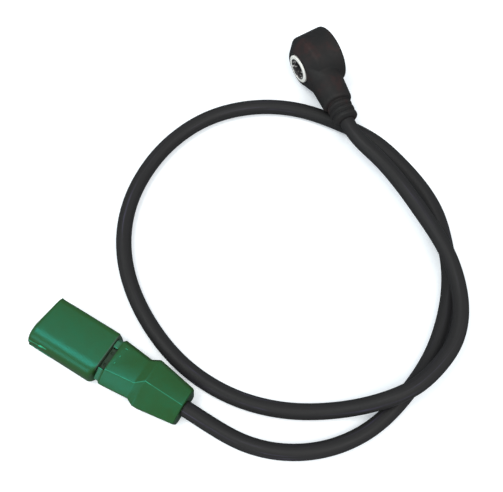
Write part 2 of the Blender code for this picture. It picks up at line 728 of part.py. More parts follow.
def loft_mesh(name, stations):
    """A closed skin through outlines, each given at its place along X, + towards the near side."""
    mesh = bpy.data.meshes.new(name)
    bm = bmesh.new()
    rings = [[bm.verts.new((along, -y, z)) for y, z in outline] for along, outline in stations]
    for first, second in zip(rings, rings[1:]):
        for i in range(len(first)):
            j = (i + 1) % len(first)
            bm.faces.new((first[i], first[j], second[j], second[i]))
    bm.faces.new(rings[0][::-1])
    bm.faces.new(rings[-1])
    bmesh.ops.recalc_face_normals(bm, faces=bm.faces)
    bm.to_mesh(mesh)
    bm.free()
    return mesh


def rear_shell():
    """Faceted rear cover: two arms at the waist, a flat top, then a ridge behind the knuckle."""
    knuckle = SHELL_START + KNUCKLE_START
    front = shell_section(SHELL_FRONT_WIDTH, SHELL_HEIGHT, SHELL_CREASE, SHELL_EAVES_DROP)
    arm = shell_section(
        SHELL_FRONT_WIDTH - 2 * ARM_DROP, SHELL_HEIGHT - ARM_DROP, SHELL_CREASE, SHELL_EAVES_DROP)
    end_width = SHELL_END_WIDTH - 2 * SHELL_END_ROUNDING
    end_height = SHELL_END_HEIGHT - SHELL_END_ROUNDING / 2
    stations = [
        (HOOD_BACK_AT + GAP, arm),
        (SHELL_START - ARM_DROP, arm),
        (SHELL_START, front),
        (knuckle, shell_section(SHELL_WAIST_WIDTH, SHELL_HEIGHT, SHELL_WAIST_CREASE, SHELL_EAVES_DROP)),
        (knuckle + KNUCKLE_LENGTH,
         shell_section(KNUCKLE_WIDTH, KNUCKLE_HEIGHT, SHELL_RIDGE, SHELL_EAVES_DROP)),
        (SHELL_END - SHELL_END_ROUNDING,
         shell_section(SHELL_END_WIDTH, SHELL_END_HEIGHT, SHELL_RIDGE, SHELL_EAVES_DROP)),
        (SHELL_END, shell_section(end_width, end_height, SHELL_RIDGE, SHELL_EAVES_DROP)),
    ]
    shell = add("rear_shell", loft_mesh("rear_shell", stations), GREEN_MOULDING, PLUG)

    slot_length = SHELL_START - HOOD_BACK_AT + PAST
    slot = block_mesh("waist_slot", (slot_length, SLOT_WIDTH, SHELL_HEIGHT + 2 * PAST),
                      (SHELL_START - slot_length / 2, 0.0, SHELL_HEIGHT / 2))
    boolean(shell, add("waist_slot", slot, None, PLUG), "DIFFERENCE")

    length = WIRE_ROOM_END - HOOD_BACK_AT + PAST
    room = block_mesh("wire_room", (length, SEAL_WIDTH + 2 * GAP, SEAL_HEIGHT + 2 * GAP),
                      (WIRE_ROOM_END - length / 2, 0.0, PIN_LEVEL))
    boolean(shell, add("wire_room", room, None, PLUG), "DIFFERENCE")

    bore = NECK_BORE_DIAMETER / 2
    reach = SHELL_END - WIRE_ROOM_END + 2 * PAST
    hole = turned_mesh("shell_bore", [(0.0, reach), (bore, reach), (bore, 0.0), (0.0, 0.0)])
    hole.transform(Matrix.Translation((WIRE_ROOM_END - PAST, 0.0, LEAD_EXIT_HEIGHT)) @ ALONG_X)
    boolean(shell, add("shell_bore", hole, None, PLUG), "DIFFERENCE")


def pin_retainer():
    """Dark locking comb between the hood and the rear shell."""
    size = (WAIST_LENGTH - 2 * GAP, SLOT_WIDTH - 2 * GAP, SHELL_HEIGHT - 4 * ARM_DROP)
    centre = (HOOD_BACK_AT + WAIST_LENGTH / 2, 0.0, size[2] / 2 + ARM_DROP)
    comb = add("pin_retainer", block_mesh("pin_retainer", size, centre), DARK_INSERT, PLUG)
    for i, place in enumerate(pin_places()):
        name = "comb_slot_%d" % (i + 1)
        slot = (WAIST_LENGTH + PAST, CRIMP_DIAMETER + 2 * GAP, CRIMP_DIAMETER + 2 * GAP)
        notch = block_mesh(name, slot, (centre[0], place, PIN_LEVEL))
        boolean(comb, add(name, notch, None, PLUG), "DIFFERENCE")


def contact_pins():
    """Three flat blades, each pressed from one strip with its crimp barrel behind."""
    half = PIN_WIDTH / 2
    tip = PIN_WALL_AT - PIN_REACH
    for i, place in enumerate(pin_places()):
        name = "pin_%d" % (i + 1)
        points = [
            (tip, -half / 2), (tip + PIN_TAPER, -half), (SHELL_START, -half),
            (SHELL_START, half), (tip + PIN_TAPER, half), (tip, half / 2),
        ]
        mesh = outline_mesh(name, points, PIN_THICKNESS)
        mesh.transform(Matrix.Translation((0.0, place, PIN_LEVEL)))
        pin = add(name, mesh, TINNED, PLUG)
        barrel_start = HOOD_BACK_AT + GAP
        length = CRIMP_END - barrel_start
        barrel = turned_mesh(name + "_barrel", [
            (0.0, length), (CRIMP_DIAMETER / 2, length), (CRIMP_DIAMETER / 2, 0.0), (0.0, 0.0)], SMALL_STEPS)
        barrel.transform(Matrix.Translation((barrel_start, place, PIN_LEVEL)) @ ALONG_X)
        boolean(pin, add(name + "_barrel", barrel, None, PLUG), "UNION")


def wire_seal():
    """One rubber block with a hole for each wire."""
    size = (SEAL_LENGTH, SEAL_WIDTH, SEAL_HEIGHT)
    centre = (SEAL_AT + SEAL_LENGTH / 2, 0.0, PIN_LEVEL)
    seal = add("wire_seal", block_mesh("wire_seal", size, centre), SEAL_RUBBER, PLUG)
    hole_radius = CORE_DIAMETER / 2 + GAP / 2
    for i, place in enumerate(pin_places()):
        name = "seal_hole_%d" % (i + 1)
        reach = SEAL_LENGTH + 2 * PAST
        profile = [(0.0, reach), (hole_radius, reach), (hole_radius, 0.0), (0.0, 0.0)]
        hole = turned_mesh(name, profile, SMALL_STEPS)
        hole.transform(Matrix.Translation((SEAL_AT - PAST, place, PIN_LEVEL)) @ ALONG_X)
        boolean(seal, add(name, hole, None, PLUG), "DIFFERENCE")


def plug_cores():
    """The wires from the lead's end, through the seal, to the crimps."""
    names = [("plug_signal_core", WHITE_WIRE), ("plug_screen_drain", BRAID), ("plug_ground_core", RED_WIRE)]
    spread = SEAL_AT + SEAL_LENGTH + GAP
    gather = WIRE_ROOM_END
    bundle = CORE_DIAMETER * CORE_BUNDLE
    exits = [(-bundle, -bundle / 2), (0.0, bundle), (bundle, -bundle / 2)]
    for place, (name, finish), (aside, up) in zip(pin_places(), names, exits):
        path = [
            Vector((CRIMP_END + GAP, place, PIN_LEVEL)), Vector((spread, place, PIN_LEVEL)),
            Vector((gather, aside, LEAD_EXIT_HEIGHT + up)), Vector((SHELL_END, aside, LEAD_EXIT_HEIGHT + up)),
        ]
        add(name, tube_mesh(name, path, CORE_DIAMETER, 2), finish, PLUG)


core_sleeve()
insulating_tube()
stack_ring("lower_insulator", STACK_INNER, STACK_OUTER, FILM)
contact_ring("lower_contact")
stack_ring("piezo_ring", STACK_INNER, CONTACT_OUTER, CERAMIC)
contact_ring("upper_contact")
stack_ring("upper_insulator", STACK_INNER, STACK_OUTER, FILM)
stack_ring("seismic_mass", STACK_INNER, STACK_OUTER, BRASS)
disc_spring()
clamp_nut()
head_housing()
head_cores()
lead()
connector_hood()
rear_shell()
pin_retainer()
contact_pins()
wire_seal()
plug_cores()
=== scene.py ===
# %% [markdown]
# # An engine knock sensor with its lead and plug
# The part is a ring-shaped sensor head, a long round lead and a three-way plug. A packed
# CAD model holds every solid at its true place, and this lesson dresses it: each visible
# solid gets a finer mesh over it, and each finish is built from nodes. All lengths are in
# metres, in the CAD model's own frame, so nothing has to be moved into place afterwards.

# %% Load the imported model
import json
import math

import bmesh
import bpy
import numpy as np
from mathutils import Matrix, Vector


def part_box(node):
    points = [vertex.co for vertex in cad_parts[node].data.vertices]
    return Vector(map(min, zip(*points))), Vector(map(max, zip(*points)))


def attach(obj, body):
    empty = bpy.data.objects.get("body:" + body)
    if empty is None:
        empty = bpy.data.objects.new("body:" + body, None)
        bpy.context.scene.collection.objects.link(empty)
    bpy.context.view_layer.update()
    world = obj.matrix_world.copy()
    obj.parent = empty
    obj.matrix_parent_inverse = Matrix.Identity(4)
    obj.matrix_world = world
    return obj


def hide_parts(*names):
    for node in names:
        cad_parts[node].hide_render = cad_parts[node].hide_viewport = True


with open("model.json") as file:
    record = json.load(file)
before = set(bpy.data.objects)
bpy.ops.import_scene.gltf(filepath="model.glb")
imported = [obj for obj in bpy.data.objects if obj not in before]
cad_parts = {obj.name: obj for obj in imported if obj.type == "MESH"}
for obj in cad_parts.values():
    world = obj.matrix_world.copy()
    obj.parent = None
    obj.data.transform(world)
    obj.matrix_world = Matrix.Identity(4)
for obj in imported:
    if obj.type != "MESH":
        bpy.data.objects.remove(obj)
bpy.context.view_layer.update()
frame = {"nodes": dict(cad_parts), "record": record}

MM = 0.001

# %% [markdown]
# ## The camera
# The object was seen from above and from one side, with the head at the top of the picture
# and the plug at the lower left. A camera could be placed by hand until the view fits, or
# worked out from points whose height over the table is known. Here the place, the point
# that it looks at and the lens were worked out that way, so the lead's loops and the plug
# fall where they should. It comes first, because the lead has to stay inside its view.

# %% Place the camera
def put(name, data):
    """A new object in the scene."""
    made = bpy.data.objects.new(name, data)
    bpy.context.scene.collection.objects.link(made)
    return made


camera_data = bpy.data.cameras.new("camera")
camera = put("camera", camera_data)
camera.location = (0.1611, -0.1314, 0.3090)
looks_at = Vector((0.0481, -0.0661, 0.0))
camera.rotation_euler = (looks_at - camera.location).to_track_quat("-Z", "Y").to_euler()
camera_data.sensor_width = 36.0
camera_data.lens = 57.26
camera_data.clip_start = 0.01
bpy.context.scene.camera = camera
print("camera to table middle: %.0f mm" % ((looks_at - camera.location).length / MM))

# %% [markdown]
# ## Helpers for a finish
# Every finish here starts from one Principled shader. What is the same all over, such as a
# metal's metallic value, is typed on the shader's own socket. What changes over the
# surface, such as colour, roughness and grain, comes from noise textures that read the
# object's own coordinates in metres. A noise scale of 1000 then gives spots about one
# millimetre wide, so each detail keeps its real size on every piece. Nodes could be added
# and linked one line at a time, but every finish does that, so one helper does it for all.

# %% Write the helpers that start a finish and add to it
def start_finish(name, colour, roughness, metallic=0.0, level=0.5, tint=(1.0, 1.0, 1.0)):
    """A material with its constants on the shader's sockets, and the shader."""
    made = bpy.data.materials.new(name)
    made.use_nodes = True
    shader = made.node_tree.nodes["Principled BSDF"]
    shader.inputs["Base Color"].default_value = (*colour, 1.0)
    shader.inputs["Roughness"].default_value = roughness
    shader.inputs["Metallic"].default_value = metallic
    shader.inputs["Specular IOR Level"].default_value = level
    shader.inputs["Specular Tint"].default_value = (*tint, 1.0)
    return made, shader


def add_node(made, kind, inputs=None, **settings):
    """A new shader node, each input with its constant or with the output that feeds it."""
    added = made.node_tree.nodes.new("ShaderNode" + kind)
    for name, value in settings.items():
        setattr(added, name, value)
    for name, value in (inputs or {}).items():
        if isinstance(value, bpy.types.NodeSocket):
            made.node_tree.links.new(value, added.inputs[name])
        else:
            added.inputs[name].default_value = value
    return added


def object_place(made):
    """The object's own coordinates, in metres."""
    return add_node(made, "TexCoord").outputs["Object"]


def noise(made, place, scale, detail=3.0, roughness=0.5):
    """A noise texture of a given number of spots per metre."""
    return add_node(made, "TexNoise", {
        "Vector": place, "Scale": scale, "Detail": detail, "Roughness": roughness}).outputs["Fac"]


def spread(made, value, low, high, start=0.3, end=0.7):
    """Stretches a value, by default the middle of a noise's range, to low and high."""
    return add_node(made, "MapRange", {
        "Value": value, "From Min": start, "From Max": end, "To Min": low, "To Max": high}).outputs["Result"]


print("nodes and noises can be added")

# %% Write the helpers that colour and roughen it
def ramp_colour(made, value, stops):
    """A colour read from (position, colour) stops along a value."""
    ramp = add_node(made, "ValToRGB", {"Fac": value})
    keys = ramp.color_ramp.elements
    while len(keys) < len(stops):
        keys.new(0.5)
    for key, (position, colour) in zip(keys, stops):
        key.position = position
        key.color = (*colour, 1.0)
    return ramp.outputs["Color"]


def feed(made, shader, socket, value):
    """Lets a node's output set one of the shader's inputs, or another node's."""
    made.node_tree.links.new(value, shader.inputs[socket])


def coloured(made, shader, value, stops):
    """Paints the base colour from (position, colour) stops along a value."""
    feed(made, shader, "Base Color", ramp_colour(made, value, stops))


def raised(made, shader, value, depth, strength):
    """Turns a value into relief of a given depth in metres."""
    bump = add_node(made, "Bump", {"Height": value, "Distance": depth, "Strength": strength})
    feed(made, shader, "Normal", bump.outputs["Normal"])


print("finishes can be coloured")

# %% [markdown]
# ## Helpers for a mesh
# Most pieces here are rows of outlines with a skin between them, which is a short loop in
# bmesh. Each finished mesh then goes in the place of its CAD solid, with smooth shading
# that breaks only at true edges, and says how far its box is from the solid's.

# %% Write the helpers that skin and place a mesh
def as_mesh(bm):
    """The mesh of a bmesh that is done."""
    mesh = bpy.data.meshes.new("mesh")
    bm.to_mesh(mesh)
    bm.free()
    return mesh


def skin(rings, closed=False, flat_ends=False):
    """A mesh through rings of points; a ring of one point closes an end, or a flat face does."""
    bm = bmesh.new()
    made = [[bm.verts.new(point) for point in ring] for ring in rings]
    pairs = list(zip(made, made[1:]))
    if closed:
        pairs.append((made[-1], made[0]))
    for first, second in pairs:
        for i in range(max(len(first), len(second))):
            corners = [first[i % len(first)], first[(i + 1) % len(first)],
                       second[(i + 1) % len(second)], second[i % len(second)]]
            bm.faces.new(list(dict.fromkeys(corners)))
    if flat_ends:
        bm.faces.new(made[0][::-1])
        bm.faces.new(made[-1])
    bmesh.ops.recalc_face_normals(bm, faces=bm.faces)
    return as_mesh(bm)


def place_piece(name, mesh, finish, node, sharp=40):
    """Puts a finished mesh in the scene in place of its CAD node."""
    mesh.shade_smooth()
    mesh.set_sharp_from_angle(angle=math.radians(sharp))
    mesh.materials.clear()
    mesh.materials.append(finish)
    mesh.name = name
    piece = put(name, mesh)
    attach(piece, "root")
    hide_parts(node)
    points = np.array([vertex.co for vertex in mesh.vertices])
    off = abs(np.array([points.min(axis=0), points.max(axis=0)]) - np.array(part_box(node))).max() / MM
    print("%s: %d faces, its box is within %.2f mm of the CAD" % (name, len(mesh.polygons), off))
    return piece


print("pieces can be skinned and placed")

# %% [markdown]
# ## The lead's route
# The lead is one piece of sheathed cable, about two thirds of a metre long. It leaves the
# neck well above the table, lies on its own second turn along one side, comes down there
# and goes round once more before it ends in the plug. It could be simulated, but where it
# lies is known, so a smooth cubic through points is surer. The lower turn rests on the
# table at half its own thickness. The points repeat the CAD's.

# %% Type the lead's points
LEAD_DIAMETER = 6.4 * MM
NECK_TILT = math.radians(8.4)
PLUG_TURN = math.radians(28.5)
PLUG_CENTRE = (64.3 * MM, -139.5 * MM)
LEAD_START = (23.1475, -4.1435, 12.7)
SHELL_END = 35.1 * MM
LEAD_EXIT_HEIGHT = 5.8 * MM
LEAD_ROUTE = [
    (32.9, -4.3, 12.5), (44.2, -2.0, 11.9), (56.1, -0.4, 11.2), (73.3, -0.0, 10.5),
    (95.3, -1.6, 10.2), (107.9, -5.8, 10.1), (118.8, -12.6, 10.1), (126.0, -20.8, 10.1),
    (130.5, -31.4, 10.2), (132.7, -44.1, 10.6), (131.0, -56.5, 9.2), (127.0, -67.3, 4.8),
    (117.8, -85.3, 3.2), (102.4, -102.7, 3.2), (82.8, -114.0, 3.2), (57.1, -118.9, 3.2),
    (32.1, -116.1, 3.2), (12.6, -106.6, 3.2), (-3.1, -89.7, 3.2), (-11.4, -71.3, 3.2),
    (-13.5, -51.9, 3.2), (-8.2, -31.8, 3.2), (3.3, -15.2, 3.2), (18.6, -3.2, 3.2),
    (32.8, 4.6, 3.2), (48.5, 8.3, 3.2), (63.6, 9.4, 3.2), (75.3, 8.1, 3.2),
    (88.0, 3.5, 3.2), (101.1, -3.5, 3.2), (113.2, -13.8, 3.2), (124.1, -27.7, 3.2),
    (132.2, -45.0, 3.2), (136.9, -66.0, 3.2), (135.1, -82.3, 3.2), (128.1, -97.8, 3.2),
    (116.6, -110.1, 3.2), (105.9, -116.9, 4.5),
]
print("%d points between the neck and the plug" % len(LEAD_ROUTE))

# %% Write a smooth route through points
def smooth_route(points, leaves, arrives):
    """A cubic through the points that keeps the given directions at its ends."""
    points = np.array(points, dtype=float)
    chords = np.linalg.norm(np.diff(points, axis=0), axis=1)
    marks = np.concatenate([[0.0], np.cumsum(chords)])
    count = len(points)
    system = np.zeros((count, count))
    load = np.zeros((count, 3))
    for i in range(1, count - 1):
        system[i, i - 1:i + 2] = chords[i - 1], 2 * (chords[i - 1] + chords[i]), chords[i]
        load[i] = (points[i + 1] - points[i]) / chords[i] - (points[i] - points[i - 1]) / chords[i - 1]
    system[0, :2] = 2 * chords[0], chords[0]
    load[0] = (points[1] - points[0]) / chords[0] - np.array(leaves)
    system[-1, -2:] = chords[-1], 2 * chords[-1]
    load[-1] = np.array(arrives) - (points[-1] - points[-2]) / chords[-1]
    bends = np.linalg.solve(system, 6 * load)

    def at(mark):
        i = int(np.clip(np.searchsorted(marks, mark) - 1, 0, count - 2))
        before, after, span = marks[i + 1] - mark, mark - marks[i], chords[i]
        curved = (bends[i] * before ** 3 + bends[i + 1] * after ** 3) / (6 * span)
        start = (points[i] / span - bends[i] * span / 6) * before
        end = (points[i + 1] / span - bends[i + 1] * span / 6) * after
        return curved + start + end

    return at, marks[-1]


def on_table(height, rest, ease):
    """Keeps a height above its rest without a kink where it comes down."""
    drop = height - rest
    return rest + (drop + math.sqrt(drop * drop + ease * ease)) / 2


print("route helpers ready")

# %% Draw the lead's route
NECK_OVERLAP, SHELL_GAP = 0.2 * MM, 0.1 * MM
END_REACH, TOUCH_EASE = 6 * MM, 0.4 * MM
lead_leaves = Vector((math.cos(NECK_TILT), -math.sin(NECK_TILT), 0.0))
lead_arrives = -Vector((math.cos(PLUG_TURN), math.sin(PLUG_TURN), 0.0))
lead_start = Vector(LEAD_START) * MM - lead_leaves * NECK_OVERLAP
lead_end = Vector((*PLUG_CENTRE, LEAD_EXIT_HEIGHT)) - lead_arrives * (SHELL_END + SHELL_GAP)
lead_at, lead_reach = smooth_route(
    [lead_start] + [Vector(place) * MM for place in LEAD_ROUTE] + [lead_end], lead_leaves, lead_arrives)
LEAD_STEPS = 419
lead_path = [lead_start]
for i in range(1, LEAD_STEPS):
    x, y, z = lead_at(lead_reach * i / LEAD_STEPS)
    near_end = min(i, LEAD_STEPS - i) * lead_reach / LEAD_STEPS < END_REACH
    lead_path.append(Vector((x, y, z if near_end else on_table(z, LEAD_DIAMETER / 2, TOUCH_EASE))))
lead_path.append(lead_end)

# %% [markdown]
# ## The lead's sheath
# The sheath is extruded black rubber-like plastic. Extrusion leaves faint lines along it
# and a very slight waviness round it; the brightest, bluish streaks along it are painted
# highlights. A curve with a bevel would do for the shape, but a tube of our own rings can
# also carry, at each point, how far along and where around the sheath it is. The finish
# reads that, so its streaks and painted highlights follow the lead through every bend.

# %% Finish of the sheath
sheath_finish, sheath_shader = start_finish("black_sheath", (0.014, 0.014, 0.015), 0.5, level=0.18)
route_place = add_node(sheath_finish, "Attribute", attribute_name="along_and_around")
streaks_and_painted_sheen = noise(sheath_finish, route_place.outputs["Vector"], 1.0, 4.0, 0.6)
# The two bluish top stops are painted highlights along the streaks; the lower stops are the sheath's own
# uneven black.
coloured(sheath_finish, sheath_shader, streaks_and_painted_sheen, [
    (0.30, (0.0185, 0.0180, 0.0178)), (0.60, (0.0225, 0.0215, 0.0222)), (0.66, (0.0270, 0.0245, 0.0310)),
    (0.74, (0.0480, 0.0430, 0.0700))])
fine_skin = noise(sheath_finish, object_place(sheath_finish), 2600.0, 3.0, 0.6)
feed(sheath_finish, sheath_shader, "Roughness", spread(sheath_finish, streaks_and_painted_sheen, 0.62, 0.45))
raised(sheath_finish, sheath_shader, fine_skin, 0.03 * MM, 0.5)
print("sheath finish made")

# %% Build the sheath
SHEATH_SIDES = 28
WAVINESS = 0.006
STREAK_AND_SHEEN_ALONG, STREAK_AND_SHEEN_ROUND = 28.0, 3.2


def sheath_rings(path, radius):
    """Rings square to the path, without twist, and each point's place along and around."""
    rings, places = [], []
    side = Vector((0.0, 0.0, 1.0))
    along = 0.0
    for i, centre in enumerate(path):
        ahead = path[min(i + 1, len(path) - 1)] - path[max(i - 1, 0)]
        ahead.normalize()
        side = (side - ahead * side.dot(ahead)).normalized()
        other = ahead.cross(side)
        if i:
            along += (centre - path[i - 1]).length
        ring = []
        for step in range(SHEATH_SIDES):
            angle = 2 * math.pi * step / SHEATH_SIDES
            wave = 1.0 + WAVINESS * math.sin(along * 180.0) * math.sin(along * 57.0 + angle)
            ring.append(centre + (side * math.cos(angle) + other * math.sin(angle)) * radius * wave)
            places.append((
                along * STREAK_AND_SHEEN_ALONG, math.cos(angle) * STREAK_AND_SHEEN_ROUND, math.sin(angle) * STREAK_AND_SHEEN_ROUND))
        rings.append(ring)
    return rings, places


rings, places = sheath_rings(lead_path, LEAD_DIAMETER / 2)
sheath_mesh = skin([[lead_path[0]]] + rings + [[lead_path[-1]]])
attribute = sheath_mesh.attributes.new("along_and_around", "FLOAT_VECTOR", "POINT")
end_places = [(0.0, 0.0, 0.0)] + places + [places[-1]]
attribute.data.foreach_set("vector", np.array(end_places, dtype=np.float32).ravel())
lead_sheath = place_piece("lead_sheath", sheath_mesh, sheath_finish, "lead")

# %% [markdown]
# ## The floor and the light
# The object lies on a plain white sheet in soft light from three lamps: a broad one high
# over one side, a smaller one over the front, which draws the long highlight on the plug,
# and a weak low one for the near sides. An even sky fills in the rest, and together they
# stay at a level where a colour shows about as it is written. For camera rays alone the
# sheet gives a little light of its own, more of it far away, so that it reads as white
# paper and still keeps the soft bluish shadows near the part. The sky behind it is plain
# white for those rays too. For mirrored rays the sheet and the sky are dimmer, which keeps
# the dark sides dark.

# %% Lay the floor
floor_bm = bmesh.new()
bmesh.ops.create_grid(floor_bm, x_segments=4, y_segments=4, size=3.0)
floor = put("floor", as_mesh(floor_bm))
print("floor laid")

# %% Finish of the sheet
def mixed_shader(made, factor, first, second):
    """One of two shaders, or a blend, by a factor."""
    return add_node(made, "MixShader", {0: factor, 1: first, 2: second}).outputs["Shader"]


floor_finish, floor_shader = start_finish("white_sheet", (0.86, 0.87, 0.88), 0.9, level=0.1)
paper_fibres = noise(floor_finish, object_place(floor_finish), 700.0)
coloured(floor_finish, floor_shader, paper_fibres, [(0.3, (0.85, 0.86, 0.87)), (0.7, (0.87, 0.88, 0.89))])
from_middle = add_node(floor_finish, "VectorMath", {0: object_place(floor_finish)}, operation="LENGTH")
far_glow = spread(floor_finish, from_middle.outputs["Value"], 0.32, 0.90, 0.30, 1.20)
paper_glow = add_node(floor_finish, "Emission", {"Color": (0.90, 0.95, 1.0, 1.0), "Strength": far_glow})
paper = floor_shader.outputs["BSDF"]
glowing = add_node(floor_finish, "AddShader", {0: paper, 1: paper_glow.outputs["Emission"]})
dim_paper = add_node(floor_finish, "BsdfDiffuse", {"Color": (0.16, 0.17, 0.18, 1.0)})
seen = add_node(floor_finish, "LightPath").outputs
unseen = mixed_shader(floor_finish, seen["Is Glossy Ray"], paper, dim_paper.outputs["BSDF"])
sheet = mixed_shader(floor_finish, seen["Is Camera Ray"], unseen, glowing.outputs["Shader"])
feed(floor_finish, floor_finish.node_tree.nodes["Material Output"], "Surface", sheet)
floor.data.materials.append(floor_finish)
print("sheet finish made")

# %% Make the sky
bpy.context.scene.view_settings.view_transform = "Standard"
sky = bpy.data.worlds.new("sky")
bpy.context.scene.world = sky
sky.use_nodes = True
sky_seen = add_node(sky, "LightPath").outputs
sky_level = add_node(sky, "MapRange", {"Value": sky_seen["Is Glossy Ray"], "To Min": 0.62, "To Max": 0.30})
sky_light = sky.node_tree.nodes["Background"]
sky_light.inputs["Color"].default_value = (0.86, 0.93, 1.0, 1.0)
feed(sky, sky_light, "Strength", sky_level.outputs["Result"])
plain_white = add_node(sky, "Background", {"Color": (1.0, 1.0, 1.0, 1.0)})
whole_sky = mixed_shader(
    sky, sky_seen["Is Camera Ray"], sky_light.outputs["Background"], plain_white.outputs["Background"])
feed(sky, sky.node_tree.nodes["World Output"], "Surface", whole_sky)
print("sky made")

# %% Set the lamps
def lamp(name, place, target, size, power, colour):
    """A square soft lamp that faces a point."""
    light = bpy.data.lights.new(name, "AREA")
    light.shape = "SQUARE"
    light.size = size
    light.energy = power
    light.color = colour
    holder = put(name, light)
    holder.location = place
    holder.rotation_euler = (Vector(target) - Vector(place)).to_track_quat("-Z", "Y").to_euler()


middle = (0.06, -0.06, 0.0)
lamp("broad_lamp", (0.60, 0.04, 0.85), middle, 0.6, 4.6, (1.0, 0.98, 0.94))
lamp("front_lamp", (-0.12, -0.36, 0.90), middle, 0.34, 3.4, (0.97, 1.0, 0.97))
lamp("low_lamp", (0.16, -0.85, 0.42), middle, 0.40, 1.5, (0.92, 1.0, 1.0))
print("lamps set")

# %% [markdown]
# ## Helpers for turned and cut shapes
# A turned part is a line of radii and heights, swept round an axis. Each corner of the line
# can be eased into a small curve first, because no real edge is perfectly sharp and it is
# the soft edge that catches the light. Ribs, cuts and bevels come after, as modifiers,
# which leaves the first mesh simple.

# %% Write the helpers for turned shapes
ALONG_Y = Matrix.Rotation(-math.pi / 2, 4, "X")
ALONG_X = Matrix.Rotation(math.pi / 2, 4, "Y")


def in_mm(line):
    """A line typed in millimetres, in metres."""
    return [tuple(value * MM for value in point) for point in line]


def eased(corners, steps=5):
    """A line of (x, y, easing) corners, where each eased corner becomes a short curve."""
    points = []
    for i, (x, y, easing) in enumerate(corners):
        if easing == 0.0:
            points.append((x, y))
            continue
        here = Vector((x, y))
        start = here + (Vector(corners[i - 1][:2]) - here).normalized() * easing
        end = here + (Vector(corners[(i + 1) % len(corners)][:2]) - here).normalized() * easing
        for step in range(steps + 1):
            t = step / steps
            point = start * (1 - t) ** 2 + here * (2 * t * (1 - t)) + end * t ** 2
            points.append((point.x, point.y))
    return points


def turned(profile, steps):
    """A line of (radius, height) points, turned round Z."""
    rings = []
    for radius, height in profile:
        count = steps if radius > 0.0 else 1
        rings.append([
            (radius * math.cos(2 * math.pi * i / steps), radius * math.sin(2 * math.pi * i / steps), height)
            for i in range(count)])
    return skin(rings, closed=profile[0][0] > 0.0)


print("lines can be eased and turned")

# %% Write the helpers that join and cut
def block(size, centre, bevel=0.0, segments=3):
    """A box with rounded edges."""
    bm = bmesh.new()
    bmesh.ops.create_cube(bm, size=1.0)
    bmesh.ops.scale(bm, vec=Vector(size), verts=bm.verts)
    if bevel > 0.0:
        bmesh.ops.bevel(bm, geom=bm.edges, offset=bevel, segments=segments, profile=0.5, affect="EDGES")
    bmesh.ops.translate(bm, vec=Vector(centre), verts=bm.verts)
    return as_mesh(bm)


def shaped(mesh, steps):
    """The mesh after a list of modifiers, each a type with its settings; a mesh setting becomes a tool."""
    work = put("work", mesh)
    tools = []
    for kind, settings in steps:
        modifier = work.modifiers.new(kind.lower(), kind)
        for name, value in settings.items():
            if isinstance(value, bpy.types.Mesh):
                value = put("tool", value)
                tools.append(value)
            setattr(modifier, name, value)
    graph = bpy.context.evaluated_depsgraph_get()
    result = bpy.data.meshes.new_from_object(work.evaluated_get(graph))
    for spare in [work] + tools:
        bpy.data.objects.remove(spare, do_unlink=True)
    return result


def add_to(tool):
    """A step that joins another closed mesh to the piece."""
    return "BOOLEAN", {"object": tool, "operation": "UNION", "solver": "EXACT"}


def cut_by(tool):
    """A step that cuts another closed mesh out of the piece."""
    return "BOOLEAN", {"object": tool, "operation": "DIFFERENCE", "solver": "EXACT"}


print("meshes can be joined and cut")

# %% [markdown]
# ## The head's black cover
# The cover is one satin black moulding round the steel sleeve. Its front slopes back to
# the round body, and a side neck carries the wires out through a ribbed bend relief. The
# body and the neck could be left as two meshes in each other, but a moulding flows from
# one to the other. So both are turned and joined with a hull that spans the corner between
# the front rim and the neck. The whole is rebuilt as one even skin of tiny squares and
# smoothed. The room for the sensor's inner parts is cut out last, so its edges stay crisp.

# %% Finish of the black moulding
black_finish, black_shader = start_finish("black_moulding", (0.016, 0.015, 0.015), 0.6, level=0.16)
black_place = object_place(black_finish)
black_cloud = noise(black_finish, black_place, 130.0, 3.0)
coloured(black_finish, black_shader, black_cloud, [
    (0.40, (0.0185, 0.0180, 0.0180)), (0.56, (0.0215, 0.0190, 0.0187)), (0.68, (0.0340, 0.0200, 0.0195))])
black_gloss = noise(black_finish, black_place, 420.0)
feed(black_finish, black_shader, "Roughness", spread(black_finish, black_gloss, 0.46, 0.66))
raised(black_finish, black_shader, noise(black_finish, black_place, 5200.0, 2.0), 0.02 * MM, 0.45)
print("black moulding finish made")

# %% Turn the head's body and neck
HEAD_AXIS = (-10.735 * MM, 12.7 * MM)
HEAD_PLACE = Matrix.Translation((HEAD_AXIS[0], -8.6401 * MM, HEAD_AXIS[1]))
NECK_DEPTH = 9.5 * MM
NECK_PLACE = (HEAD_PLACE @ Matrix.Translation((0.0, NECK_DEPTH, 0.0))
              @ Matrix.Rotation(-NECK_TILT, 4, "Z") @ ALONG_X)

BODY_RADIUS, FRONT_FLAT = 12.7, 8.15
FRONT, CHAMFER_END, BACK = 0.5, 4.8, 17.6
body = turned(eased(in_mm([
    (0.0, BACK, 0.0), (BODY_RADIUS, BACK, 0.8), (BODY_RADIUS, CHAMFER_END, 0.7),
    (FRONT_FLAT, FRONT, 0.5), (0.0, FRONT, 0.0)])), 144)
body.transform(HEAD_PLACE @ ALONG_Y)

GROOVE, RIB = 0.95, 1.8
reached = 24.7
neck_line = [(0.0, 9.6, 0.0), (7.4, 9.6, 0.0), (7.4, 12.1, 0.4), (6.65, reached, 1.6)]
for _ in range(3):
    neck_line += [(4.75, reached, 0.3), (4.75, reached + GROOVE, 0.3)]
    reached += GROOVE
    neck_line += [(5.5, reached, 0.4), (5.5, reached + RIB, 0.4)]
    reached += RIB
reached += 1.0
neck_line += [(4.0, reached, 0.25), (0.0, reached, 0.0)]
neck = turned(eased(in_mm(neck_line), 4), 96)
neck.transform(NECK_PLACE)
print("body %d faces, neck %d faces and %.2f mm long" % (len(body.polygons), len(neck.polygons), reached))

